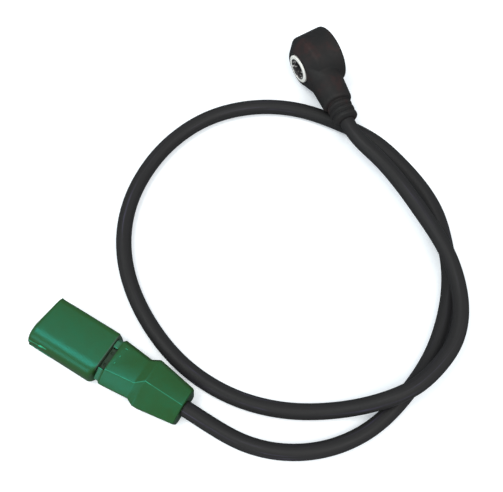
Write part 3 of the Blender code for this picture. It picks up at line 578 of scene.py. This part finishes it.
# %% Span the corner between the front rim and the neck
RIM_RADIUS, RIM_DEPTHS = 7.9 * MM, (0.6 * MM, 6.0 * MM)
ROOT_RADIUS, ROOT_REACH = 7.25 * MM, 13.6 * MM
web_bm = bmesh.new()
for i in range(48):
    angle = 2 * math.pi * i / 48
    across, up = math.cos(angle), math.sin(angle)
    for depth in RIM_DEPTHS:
        web_bm.verts.new(HEAD_PLACE @ Vector((RIM_RADIUS * across, depth, RIM_RADIUS * up)))
    web_bm.verts.new(NECK_PLACE @ Vector((ROOT_RADIUS * across, ROOT_RADIUS * up, ROOT_REACH)))
hull = bmesh.ops.convex_hull(web_bm, input=web_bm.verts)
spare = set(hull["geom_interior"] + hull["geom_unused"])
inside = [item for item in spare if isinstance(item, bmesh.types.BMVert)]
bmesh.ops.delete(web_bm, geom=inside, context="VERTS")
web = as_mesh(web_bm)
print("web: %d faces" % len(web.polygons))

# %% Blend them and cut the room inside
blended = shaped(body, [
    add_to(neck), add_to(web),
    ("REMESH", {"mode": "VOXEL", "voxel_size": 0.26 * MM, "adaptivity": 0.0}),
    ("SMOOTH", {"factor": 0.5, "iterations": 5}),
])
room = turned(in_mm([
    (0.0, 19.0), (11.0, 19.0), (11.0, 15.3), (10.04, 15.3), (10.04, 3.74), (8.84, 2.54),
    (6.7, 2.54), (6.7, 0.75), (7.1, 0.35), (7.1, -1.0), (0.0, -1.0)]), 144)
room.transform(HEAD_PLACE @ ALONG_Y)
pocket = block((5.1 * MM, 4.7 * MM, 6.2 * MM), (9.0 * MM, 12.95 * MM, 0.0))
pocket.transform(HEAD_PLACE)
wire_way = turned(in_mm([
    (0.0, 36.0), (2.6, 36.0), (2.6, 18.04), (4.7, 14.04), (4.7, 9.24), (0.0, 9.24)]), 48)
wire_way.transform(NECK_PLACE)
cover_mesh = shaped(blended, [cut_by(room), cut_by(pocket), cut_by(wire_way)])
place_piece("head_cover", cover_mesh, black_finish, "head_housing")

# %% [markdown]
# ## The steel sleeve
# The sleeve is what the bolt clamps: a turned steel tube with a plain ring at the bolt's
# side and a wide flange at the engine's side. A lathe leaves fine rings round the faces,
# so the finish needs to know how far each point is from the sleeve's axis. That is a
# little vector arithmetic, and a one-way noise along that radius gives the tool marks.
# The ring's face is bright and the flange's duller. The bore is painted dark, as painted
# shade, and at its mouth bright streaks are painted highlights on dark metal, so the depth
# along the axis and the distance from it pick between these colours. It could be four
# materials, but then their borders would be sharp and follow the mesh.

# %% Write the helpers for turned metal
def from_axis(made, axis_x, axis_z):
    """How far a point is from the head's axis, in metres."""
    shift = add_node(made, "VectorMath", {
        0: object_place(made), 1: (1.0, 0.0, 1.0), 2: (-axis_x, 0.0, -axis_z)}, operation="MULTIPLY_ADD")
    return add_node(made, "VectorMath", {0: shift.outputs["Vector"]}, operation="LENGTH").outputs["Value"]


def tool_marks(made, distance, per_metre):
    """Fine rings: a noise that changes only along one distance."""
    return add_node(made, "TexNoise", {
        "W": distance, "Scale": per_metre, "Detail": 3.0}, noise_dimensions="1D").outputs["Fac"]


def mixed(made, factor, first, second):
    """One of two colours, or a blend, by a factor."""
    first, second = [
        (*value, 1.0) if isinstance(value, tuple) else value for value in (first, second)]
    return add_node(made, "Mix", {0: factor, 6: first, 7: second}, data_type="RGBA").outputs[2]


print("tool marks can follow an axis, and colours can mix")

# %% Faces of the turned steel
RING_TO_FLANGE, MOUTH_TO_BORE = (-4.0 * MM, 0.0), (-5.6 * MM, -4.4 * MM)
BORE_TO_FACE = (4.75 * MM, 4.95 * MM)
steel_finish, steel_shader = start_finish("bright_steel", (0.92, 0.90, 0.86), 0.3, metallic=0.15)
steel_place = object_place(steel_finish)
steel_distance = from_axis(steel_finish, *HEAD_AXIS)
steel_rings = tool_marks(steel_finish, steel_distance, 5200.0)
steel_depth = add_node(steel_finish, "SeparateXYZ", {"Vector": steel_place}).outputs["Y"]

steel_cloud = noise(steel_finish, steel_place, 260.0)
ring_face = ramp_colour(steel_finish, steel_cloud, [(0.3, (0.96, 0.93, 0.84)), (0.65, (1.0, 0.98, 0.93))])
flange_face = ramp_colour(steel_finish, steel_cloud, [(0.3, (0.52, 0.51, 0.49)), (0.65, (0.64, 0.63, 0.60))])
on_flange = spread(steel_finish, steel_depth, 0.0, 1.0, *RING_TO_FLANGE)
steel_face = mixed(steel_finish, on_flange, ring_face, flange_face)
feed(steel_finish, steel_shader, "Metallic", spread(steel_finish, on_flange, 0.15, 0.80))
print("steel faces made")

# %% Bore of the turned steel
# The bore is painted dark as painted shade, and the bright streaks at its mouth are painted highlights.
bore_glint_noise = noise(steel_finish, steel_place, 700.0, 2.0, 0.4)
shaded_mouth_with_glints = ramp_colour(steel_finish, bore_glint_noise, [
    (0.50, (0.040, 0.036, 0.036)), (0.56, (0.16, 0.14, 0.13)), (0.60, (0.75, 0.73, 0.70))])
shaded_deep_bore = ramp_colour(steel_finish, bore_glint_noise, [(0.4, (0.20, 0.19, 0.18)), (0.6, (0.32, 0.31, 0.30))])
past_mouth = spread(steel_finish, steel_depth, 0.0, 1.0, *MOUTH_TO_BORE)
painted_shade_bore = mixed(steel_finish, past_mouth, shaded_mouth_with_glints, shaded_deep_bore)
on_face = spread(steel_finish, steel_distance, 0.0, 1.0, *BORE_TO_FACE)
steel_colour = mixed(steel_finish, on_face, painted_shade_bore, steel_face)
feed(steel_finish, steel_shader, "Base Color", steel_colour)
feed(steel_finish, steel_shader, "Roughness", spread(steel_finish, steel_rings, 0.22, 0.42))
raised(steel_finish, steel_shader, steel_rings, 0.02 * MM, 0.5)
print("steel finish made")

# %% Turn the sleeve
sleeve_mesh = turned(eased(in_mm([
    (4.2, 17.5, 0.15), (4.7, 18.0, 0.15), (10.3, 18.0, 0.15), (10.7, 17.6, 0.15), (10.7, 15.6, 0.15),
    (5.9, 15.6, 0.2), (5.9, 2.2, 0.15), (6.4, 2.2, 0.15), (6.4, 0.25, 0.12), (6.15, 0.0, 0.12),
    (4.7, 0.0, 0.15), (4.2, 0.5, 0.15)]), 3), 144)
sleeve_mesh.transform(HEAD_PLACE @ ALONG_Y)
place_piece("steel_sleeve", sleeve_mesh, steel_finish, "core_sleeve")

# %% [markdown]
# ## The plug's hood
# The hood is the green shroud that the engine loom's own plug slides into. Its section has
# one wide shoulder on the near side, a top that falls a little to a tight far edge, and a
# slanting mouth. A thick wall inside holds the pins, and a short rib on each side guides
# the other plug. One skin does it all: outlines run from the pin wall out through the
# socket, round the lip and back along the outside, and their near ends slant forward
# behind the shoulder. A moulding line and a nub on the near side and a small tab on the
# far side are joined on after.
#
# The moulded colour is a deep green, a little uneven, as glass-filled plastic is. Its
# sheen is green too, which the specular tint gives. The finish works in the plug's own
# axes: the hood's rear wall by the slot gets a dull olive-grey as painted shade, the
# shell's arms round the slot are painted lighter against their shade, and the shell's
# rear wall is painted darker as painted shade. Faces marked along a moulding line, the
# nub, the crease and the dashes get a painted highlight.

# %% Base of the green moulding
PLUG_PLACE = Matrix.Translation((*PLUG_CENTRE, 0.0)) @ Matrix.Rotation(PLUG_TURN, 4, "Z")
green_finish, green_shader = start_finish(
    "green_moulding", (0.014, 0.090, 0.026), 0.42, level=0.55, tint=(0.05, 1.0, 0.90))
green_place = object_place(green_finish)
plug_axes = add_node(green_finish, "Mapping", {
    "Vector": green_place, "Location": (*PLUG_CENTRE, 0.0), "Rotation": (0.0, 0.0, PLUG_TURN)},
    vector_type="TEXTURE")
plug_along = add_node(green_finish, "SeparateXYZ", {"Vector": plug_axes.outputs["Vector"]}).outputs["X"]

green_cloud = noise(green_finish, green_place, 230.0, 4.0, 0.6)
green_speckle = noise(green_finish, green_place, 2400.0, 2.0, 0.6)
green_base = ramp_colour(green_finish, green_cloud, [
    (0.30, (0.025, 0.068, 0.012)), (0.50, (0.0240, 0.074, 0.015)), (0.72, (0.021, 0.082, 0.021))])
darker_spots = spread(green_finish, green_speckle, 0.0, 0.50)
speckled = mixed(green_finish, darker_spots, green_base, (0.030, 0.062, 0.010))
print("green base made")

# %% Colours of the green moulding
BLACK, WHITE, DIM = (0.0, 0.0, 0.0), (1.0, 1.0, 1.0), (0.60, 0.60, 0.60)
WAIST, REAR_WALL = (-1.2 * MM, 2.8 * MM), (34.0 * MM, 35.2 * MM)
along_waist = spread(green_finish, plug_along, 0.0, 1.0, *WAIST)
along_rear = spread(green_finish, plug_along, 0.0, 1.0, *REAR_WALL)
# The shell's rear wall is painted darker: painted shade.
rear_shade = ramp_colour(green_finish, along_rear, [(0.60, WHITE), (0.82, DIM)])
tones_and_painted_shade = add_node(
    green_finish, "VectorMath", {0: speckled, 1: rear_shade}, operation="MULTIPLY").outputs["Vector"]
# The hood's rear wall by the slot gets a dull olive-grey as painted shade, and the shell's arms round the
# slot a lighter green as painted light against their shade.
for stops, colour in [
        ([(0.04, BLACK), (0.13, WHITE), (0.20, WHITE), (0.26, BLACK)], (0.060, 0.085, 0.055)),
        ([(0.22, BLACK), (0.28, WHITE), (0.82, WHITE), (0.90, BLACK)], (0.040, 0.125, 0.064))]:
    tones_and_painted_shade = mixed(green_finish, ramp_colour(green_finish, along_waist, stops), tones_and_painted_shade, colour)
# Faces marked along the crease, the near moulding line, the nub and the dashes get a painted highlight.
painted_highlight_line = add_node(green_finish, "Attribute", attribute_name="painted_highlight_line").outputs["Fac"]
feed(green_finish, green_shader, "Base Color", mixed(green_finish, painted_highlight_line, tones_and_painted_shade, (0.045, 0.36, 0.19)))
green_gloss = noise(green_finish, green_place, 900.0, 4.0)
feed(green_finish, green_shader, "Roughness", spread(green_finish, green_gloss, 0.31, 0.39))
raised(green_finish, green_shader, green_speckle, 0.03 * MM, 0.5)
print("green moulding finish made")

# %% Write the hood's outline
HOOD_WIDTH = 21.2 * MM
HOOD_HEIGHT = 12.8 * MM
TOP_FALL = 1.2 * MM
SHOULDER, EDGE, FOOT = 7.0 * MM, 2.2 * MM, 4.0 * MM
HOOD_WALL = 1.4 * MM
MOUTH = -30.6 * MM
HOOD_BACK = -0.5 * MM
PIN_WALL = -7.5 * MM
MOUTH_SKEW = math.tan(math.radians(8))
MOUTH_SLANT_FROM = 2.0 * MM
REAR_SKEW, REAR_SLANT_FROM, REAR_SLANT_REACH = 0.26, 5.0 * MM, 7 * MM


def hood_ring(along, inset, slant, near=0.0, far=0.0):
    """One outline of the hood, inset from the outer size, with a slanted mouth and rear end."""
    side, top = HOOD_WIDTH / 2 - inset, HOOD_HEIGHT / 2 - inset
    points = eased([
        (side - far, -top, FOOT - inset), (side - far, top - TOP_FALL, EDGE - inset),
        (near - side, top, SHOULDER - inset), (near - side, -top, FOOT - inset)], 14)
    ring = []
    for across, up in points:
        back = max(0.0, across + MOUTH_SLANT_FROM) * MOUTH_SKEW * slant
        near_rear = max(0.0, 1 - (HOOD_BACK - along) / REAR_SLANT_REACH)
        forward = max(0.0, -across - REAR_SLANT_FROM) * REAR_SKEW * near_rear
        ring.append((along + back - forward, across, HOOD_HEIGHT / 2 + up))
    return ring


print("one outline has %d points" % len(hood_ring(MOUTH, 0.0, 1.0)))

# %% Run the outlines from the pin wall round the lip to the back
LIP = 0.35 * MM
NEAR_CORNER, FAR_CORNER, REAR_EDGE = 1.8 * MM, 1.0 * MM, 0.4 * MM
CORNER_SHARE = 0.97
hood_rings = [[(PIN_WALL, 0.0, HOOD_HEIGHT / 2)], hood_ring(PIN_WALL, HOOD_WALL + 0.5 * MM, 0.0)]
hood_rings.append(hood_ring(PIN_WALL - 0.5 * MM, HOOD_WALL, 0.0))
for part in range(1, 12):
    share = part / 12
    hood_rings.append(hood_ring(PIN_WALL + (MOUTH - PIN_WALL) * share, HOOD_WALL, share ** 3))
for step in range(7):
    angle = math.pi * step / 6
    hood_rings.append(hood_ring(
        MOUTH + LIP * (1 - math.sin(angle)), HOOD_WALL / 2 + math.cos(angle) * HOOD_WALL / 2, 1.0))
for part in range(1, 20):
    share = part / 20
    along = MOUTH + LIP + (HOOD_BACK - NEAR_CORNER - MOUTH - LIP) * share
    hood_rings.append(hood_ring(along, 0.0, (1 - share) ** 3))


def corner_cut(along, radius):
    """How far a corner of a given radius has drawn in at a station near the rear face."""
    into = max(0.0, along - (HOOD_BACK - radius))
    return radius - math.sqrt(max(0.0, radius ** 2 - into ** 2))


for step in range(13):
    into = NEAR_CORNER * math.sin(math.pi / 2 * step / 12)
    along = HOOD_BACK - NEAR_CORNER + into * CORNER_SHARE
    hood_rings.append(hood_ring(
        along, corner_cut(along, REAR_EDGE), 0.0,
        corner_cut(along, NEAR_CORNER) * 0.8, corner_cut(along, FAR_CORNER)))
last = CORNER_SHARE * NEAR_CORNER - NEAR_CORNER + HOOD_BACK
hood_rings.append(hood_ring(HOOD_BACK, REAR_EDGE + 0.25 * MM, 0.0, corner_cut(last, NEAR_CORNER), FAR_CORNER))
hood_rings.append([(HOOD_BACK, 0.0, HOOD_HEIGHT / 2)])
hood_skin = skin(hood_rings)
print("hood skin: %d outlines, %d faces" % (len(hood_rings), len(hood_skin.polygons)))

# %% Add the ribs and the small marks, and cut the pins' ways
NEAR_LINE = [(-30.0, -9.9, 9.5), (-21.8, -9.47, 10.3)]
NUB = [(-25.4, -9.72, 10.0), (-23.6, -9.6, 10.15)]
PIN_PLACES = [-4.8 * MM, 0.0, 4.8 * MM]
PIN_LEVEL = 6.1 * MM


def bar(line, width):
    """A thin square bar from one point to another, for a moulding line or a nub."""
    start, end = Vector(line[0]) * MM, Vector(line[1]) * MM
    length = (end - start).length
    made = block((length, width * MM, width * MM), (length / 2, 0.0, 0.0), width * MM * 0.25, 1)
    made.transform(Matrix.Translation(start) @ (end - start).to_track_quat("X", "Z").to_matrix().to_4x4())
    return made


hood_steps = []
for side in (-1, 1):
    slip = HOOD_WIDTH / 2 * MOUTH_SKEW if side > 0 else 0.0
    rib_place = (MOUTH + 5.8 * MM + slip, side * (HOOD_WIDTH / 2 - 0.7 * MM), 6.4 * MM)
    hood_steps.append(add_to(block((11.0 * MM, 2.0 * MM, 0.8 * MM), rib_place, 0.2 * MM)))
hood_steps += [add_to(bar(NEAR_LINE, 0.22)), add_to(bar(NUB, 0.55))]
tab = block((0.9 * MM, 0.7 * MM, 0.5 * MM), (-28.6 * MM, 10.35 * MM, 9.9 * MM), 0.12 * MM)
hood_steps.append(add_to(tab))
for across in PIN_PLACES:
    pin_way = block((10.0 * MM, 3.4 * MM, 1.4 * MM), (-4.0 * MM, across, PIN_LEVEL), 0.15 * MM)
    hood_steps.append(cut_by(pin_way))
hood_mesh = shaped(hood_skin, hood_steps)
print("hood after %d steps: %d faces" % (len(hood_steps), len(hood_mesh.polygons)))

# %% Mark the painted highlight lines and place the hood
def from_line(point, line):
    """The distance from a point to a line of points given in millimetres."""
    best = 1.0
    for a, b in zip(line, line[1:]):
        a, b = Vector(a) * MM, Vector(b) * MM
        share = max(0.0, min(1.0, (point - a).dot(b - a) / (b - a).length_squared))
        best = min(best, (a + (b - a) * share - point).length)
    return best


def mark_painted_highlights(mesh, lines):
    """Marks the faces along each line for a painted highlight of a given share, for the finish to use."""
    values = [0.0] * len(mesh.polygons)
    for line, reach, share in lines:
        near = [from_line(vertex.co, line) < 1.7 * reach for vertex in mesh.vertices]
        for face in mesh.polygons:
            if all(near[i] for i in face.vertices) and from_line(face.center, line) < reach:
                values[face.index] = share
    mesh.attributes.new("painted_highlight_line", "FLOAT", "FACE").data.foreach_set("value", values)
    return sum(1 for value in values if value)


# The near moulding line and the nub get painted highlights.
lit = mark_painted_highlights(hood_mesh, [(NEAR_LINE, 0.34 * MM, 0.6), (NUB, 0.34 * MM, 1.0)])
print("%d faces in the hood's light lines" % lit)
hood_mesh.transform(PLUG_PLACE)
plug_hood = place_piece("plug_hood", hood_mesh, green_finish, "connector_hood")

# %% [markdown]
# ## The plug's rear shell
# The rear shell closes over the wires where they leave the hood. It is moulded with flat
# facets: a near side that slopes from a crease, a top that falls to the far edge, a
# knuckle in the middle for the fingers, and a ridge that runs down to the lead. A smooth
# blob would lose that, so it is a skin over a few flat-sided outlines, with every edge
# then bevelled by a fraction of a millimetre. The bevel comes before the slot and the
# wires' room are cut, because it needs clean edges. A few small moulding dashes are
# joined on, and the crease and the dashes are marked for a painted highlight, as on the hood.

# %% Run a skin over the shell's outlines
def shell_ring(along, width, height, crease):
    """One outline of the shell, from its near foot over the crease to the far foot."""
    side = width / 2
    foot = side - 0.9
    outline = [
        (foot - 1.0, 0.0), (foot, 1.0), (side, height - 3.6), (crease, height),
        (1.4 - side, height - 0.8), (-side, height - 3.2), (-foot, 1.0), (1.0 - foot, 0.0)]
    return [(along * MM, -near * MM, up * MM) for near, up in outline]


stations = [
    (-0.2, 18.0, 12.0, 4.4), (1.7, 18.0, 12.0, 4.4), (2.5, 19.6, 12.8, 4.4), (15.1, 17.2, 12.8, 2.9),
    (18.5, 20.4, 13.8, 0.2), (34.3, 15.6, 11.15, 0.2), (35.1, 14.6, 10.9, 0.2)]
shell_skin = skin([shell_ring(*station) for station in stations], flat_ends=True)
print("shell skin: %d facets" % len(shell_skin.polygons))

# %% Bevel, cut and mark the shell
CREASE = [(2.5, -4.4, 12.8), (15.1, -2.9, 12.8), (18.5, -0.2, 13.8), (34.3, -0.2, 11.15)]
DASHES = [
    [(0.0, -4.88, 12.0), (1.9, -4.88, 12.0)], [(0.5, 5.0, 11.45), (2.3, 5.0, 11.45)],
    [(19.1, -0.2, 13.65), (21.0, -0.2, 13.33)], [(4.7, 6.4, 12.1), (5.6, 6.6, 12.1)],
    [(4.7, 2.5, 12.37), (4.7, 3.2, 12.32)], [(4.4, -0.7, 12.57), (4.4, 0.0, 12.53)]]
slot = block((4.0 * MM, 9.5 * MM, 17.0 * MM), (0.5 * MM, 0.0, 6.4 * MM))
wire_room = block((20.0 * MM, 13.2 * MM, 5.6 * MM), (8.5 * MM, 0.0, PIN_LEVEL))
wire_hole = turned(in_mm([(0.0, 20.0), (2.6, 20.0), (2.6, 0.0), (0.0, 0.0)]), 48)
wire_hole.transform(Matrix.Translation((17.5 * MM, 0.0, LEAD_EXIT_HEIGHT)) @ ALONG_X)
shell_steps = [("BEVEL", {
    "width": 0.35 * MM, "segments": 3, "limit_method": "ANGLE", "angle_limit": math.radians(10)})]
shell_steps += [cut_by(tool) for tool in (slot, wire_room, wire_hole)]
shell_steps += [add_to(bar(dash, 0.3)) for dash in DASHES]
shell_mesh = shaped(shell_skin, shell_steps)
# The crease and the dashes get painted highlights.
lit = mark_painted_highlights(shell_mesh, [(CREASE, 0.20 * MM, 0.32)] + [(dash, 0.25 * MM, 0.7) for dash in DASHES])
print("%d faces in the shell's light lines" % lit)
shell_mesh.transform(PLUG_PLACE)
plug_shell = place_piece("plug_shell", shell_mesh, green_finish, "rear_shell", 60)

# %% [markdown]
# ## The retainer comb and the pins
# A dark comb slides into the slot between the hood and the shell and locks the three
# contacts. Each contact is pressed from tinned copper strip, with a flat blade whose tip
# is tapered on all sides. Both are small, but the slot and the open mouth show them, so
# they get real edges and notches and not just a dark patch.

# %% Finish of the comb
comb_finish, comb_shader = start_finish("dark_insert", (0.016, 0.018, 0.012), 0.65, level=0.15)
comb_place = object_place(comb_finish)
coloured(comb_finish, comb_shader, noise(comb_finish, comb_place, 500.0), [
    (0.35, (0.020, 0.042, 0.024)), (0.65, (0.034, 0.054, 0.034))])
comb_gloss = noise(comb_finish, comb_place, 1500.0)
feed(comb_finish, comb_shader, "Roughness", spread(comb_finish, comb_gloss, 0.5, 0.7))
raised(comb_finish, comb_shader, noise(comb_finish, comb_place, 4200.0, 2.0), 0.02 * MM, 0.5)
print("comb finish made")

# %% Build the comb
comb_steps = []
for across in PIN_PLACES:
    comb_steps.append(cut_by(block((5.0 * MM, 3.0 * MM, 3.0 * MM), (1.0 * MM, across, PIN_LEVEL))))
for side in (-1, 1):
    comb_steps.append(cut_by(block((1.2 * MM, 1.1 * MM, 2.0 * MM), (1.0 * MM, side * 2.5 * MM, 10.8 * MM))))
comb_steps.append(("BEVEL", {"width": 0.12 * MM, "segments": 2, "limit_method": "ANGLE"}))
comb_mesh = shaped(block((2.4 * MM, 8.9 * MM, 9.6 * MM), (1.0 * MM, 0.0, 5.6 * MM)), comb_steps)
comb_mesh.transform(PLUG_PLACE)
retainer_comb = place_piece("retainer_comb", comb_mesh, comb_finish, "pin_retainer")

# %% Finish of the tinned pins
tin_finish, tin_shader = start_finish("tinned_copper", (0.66, 0.65, 0.61), 0.3, metallic=1.0)
tin_place = object_place(tin_finish)
tin_cloud = noise(tin_finish, tin_place, 1400.0, 4.0)
coloured(tin_finish, tin_shader, tin_cloud, [(0.35, (0.56, 0.55, 0.52)), (0.65, (0.72, 0.71, 0.67))])
feed(tin_finish, tin_shader, "Roughness", spread(tin_finish, tin_cloud, 0.22, 0.40))
raised(tin_finish, tin_shader, noise(tin_finish, tin_place, 6000.0), 0.01 * MM, 0.4)
print("tin finish made")

# %% Build the pins
def blade(across):
    """A flat blade with a tip that narrows both ways, and its barrel behind."""
    section = [
        (1, 0.55), (0.93, 1), (-0.93, 1), (-1, 0.55), (-1, -0.55), (-0.93, -1), (0.93, -1), (1, -0.55)]
    stations = [
        (-22.5, 0.55, 0.12), (-21.9, 0.85, 0.26), (-20.9, 1.38, 0.38), (-20.7, 1.4, 0.4), (2.5, 1.4, 0.4)]
    rings = []
    for along, half_width, half_depth in stations:
        rings.append([
            (along * MM, across + y * half_width * MM, PIN_LEVEL + z * half_depth * MM) for y, z in section])
    ends = [[(stations[end][0] * MM, across, PIN_LEVEL)] for end in (0, -1)]
    barrel = turned(eased(in_mm([(0.0, 9.1, 0.0), (1.2, 9.1, 0.2), (1.2, 0.0, 0.2), (0.0, 0.0, 0.0)])), 32)
    barrel.transform(Matrix.Translation((-0.2 * MM, across, PIN_LEVEL)) @ ALONG_X)
    return shaped(skin([ends[0]] + rings + [ends[1]]), [add_to(barrel)])


plug_pieces = []
for number, across in enumerate(PIN_PLACES, 1):
    mesh = blade(across)
    mesh.transform(PLUG_PLACE)
    plug_pieces.append(place_piece(
        "plug_pin_%d" % number, mesh, tin_finish, "pin_%d" % number))

# %% [markdown]
# ## The parts that stay as the CAD has them
# The rings of the stack, the wires and the seal are hidden inside, and their plain turned
# shapes are right as they are. They keep their CAD meshes and only get a finish each:
# machined brass with tool marks, dark spring steel, dull fired ceramic, amber film, soft
# seal rubber, two wire colours and a stranded screen.

# %% Finishes of the inner metal rings
def turned_metal(name, dark, light, smoothest, roughest):
    """Machined metal with tool marks round the head's axis."""
    made, shader = start_finish(name, light, smoothest, metallic=1.0)
    rings = tool_marks(made, from_axis(made, *HEAD_AXIS), 4200.0)
    coloured(made, shader, noise(made, object_place(made), 420.0), [(0.3, dark), (0.7, light)])
    feed(made, shader, "Roughness", spread(made, rings, smoothest, roughest))
    raised(made, shader, rings, 0.02 * MM, 0.5)
    return made


finishes = {
    "bright_steel": steel_finish, "black_moulding": black_finish, "black_sheath": sheath_finish,
    "green_moulding": green_finish, "dark_insert": comb_finish, "tinned_copper": tin_finish,
}
finishes["brass"] = turned_metal("brass", (0.60, 0.41, 0.16), (0.76, 0.56, 0.25), 0.26, 0.44)
finishes["spring_steel"] = turned_metal("spring_steel", (0.24, 0.24, 0.26), (0.36, 0.36, 0.39), 0.28, 0.42)
print("inner metals made")

# %% Finishes of the inner plastics, rubber and wires
def cloudy(name, dark, light, roughness, spots, grain, depth, level):
    """A moulded, fired or extruded finish: two close colours, uneven gloss and a fine grain."""
    made, shader = start_finish(name, light, roughness, level=level)
    place = object_place(made)
    cloud = noise(made, place, spots, 4.0)
    coloured(made, shader, cloud, [(0.32, dark), (0.68, light)])
    feed(made, shader, "Roughness", spread(made, cloud, roughness + 0.08, roughness - 0.08))
    raised(made, shader, noise(made, place, grain, 2.0), depth, 0.5)
    return made


for name, dark, light, roughness, spots, grain, depth, level in [
        ("grey_ceramic", (0.30, 0.29, 0.26), (0.40, 0.39, 0.35), 0.62, 1200.0, 6000.0, 0.02, 0.5),
        ("amber_film", (0.46, 0.24, 0.04), (0.60, 0.34, 0.08), 0.40, 600.0, 2400.0, 0.01, 0.5),
        ("seal_rubber", (0.30, 0.08, 0.02), (0.40, 0.12, 0.04), 0.62, 700.0, 3600.0, 0.02, 0.3),
        ("white_wire", (0.56, 0.55, 0.51), (0.66, 0.65, 0.61), 0.45, 800.0, 3000.0, 0.01, 0.5),
        ("red_wire", (0.34, 0.02, 0.015), (0.44, 0.04, 0.025), 0.45, 800.0, 3000.0, 0.01, 0.5)]:
    finishes[name] = cloudy(name, dark, light, roughness, spots, grain, depth * MM, level)
print("inner plastics made")

# %% Finish of the braid
braid_finish, braid_shader = start_finish("copper_braid", (0.62, 0.38, 0.22), 0.38, metallic=1.0)
strand = add_node(braid_finish, "TexWave", {
    "Vector": object_place(braid_finish), "Scale": 900.0, "Distortion": 1.5}).outputs["Fac"]
coloured(braid_finish, braid_shader, strand, [(0.2, (0.36, 0.20, 0.10)), (0.7, (0.68, 0.43, 0.26))])
feed(braid_finish, braid_shader, "Roughness", spread(braid_finish, strand, 0.50, 0.30, 0.0, 1.0))
raised(braid_finish, braid_shader, strand, 0.08 * MM, 0.8)
finishes["copper_braid"] = braid_finish
print("%d finishes in all" % len(finishes))

# %% Dress the CAD nodes that stay
for part in frame["record"]["subparts"]:
    frame["nodes"][part["node"]].material_slots[0].material = finishes[part["material_slot"]]
kept = [name for name, node in frame["nodes"].items() if not node.hide_render]
print("CAD nodes that stay:", ", ".join(sorted(kept)))

# %% [markdown]
# ## The pieces on the lead
# The lead is a free cord, and the plug sits on its end, with everything inside the plug.
# The plug's pieces and the inner parts are gathered here into one list.

on_the_lead = [plug_hood, plug_shell, retainer_comb] + plug_pieces
inner_nodes = ("wire_seal", "plug_signal_core", "plug_screen_drain", "plug_ground_core")
on_the_lead += [frame["nodes"][name] for name in inner_nodes]
print("lead declared with %d pieces on it" % len(on_the_lead))
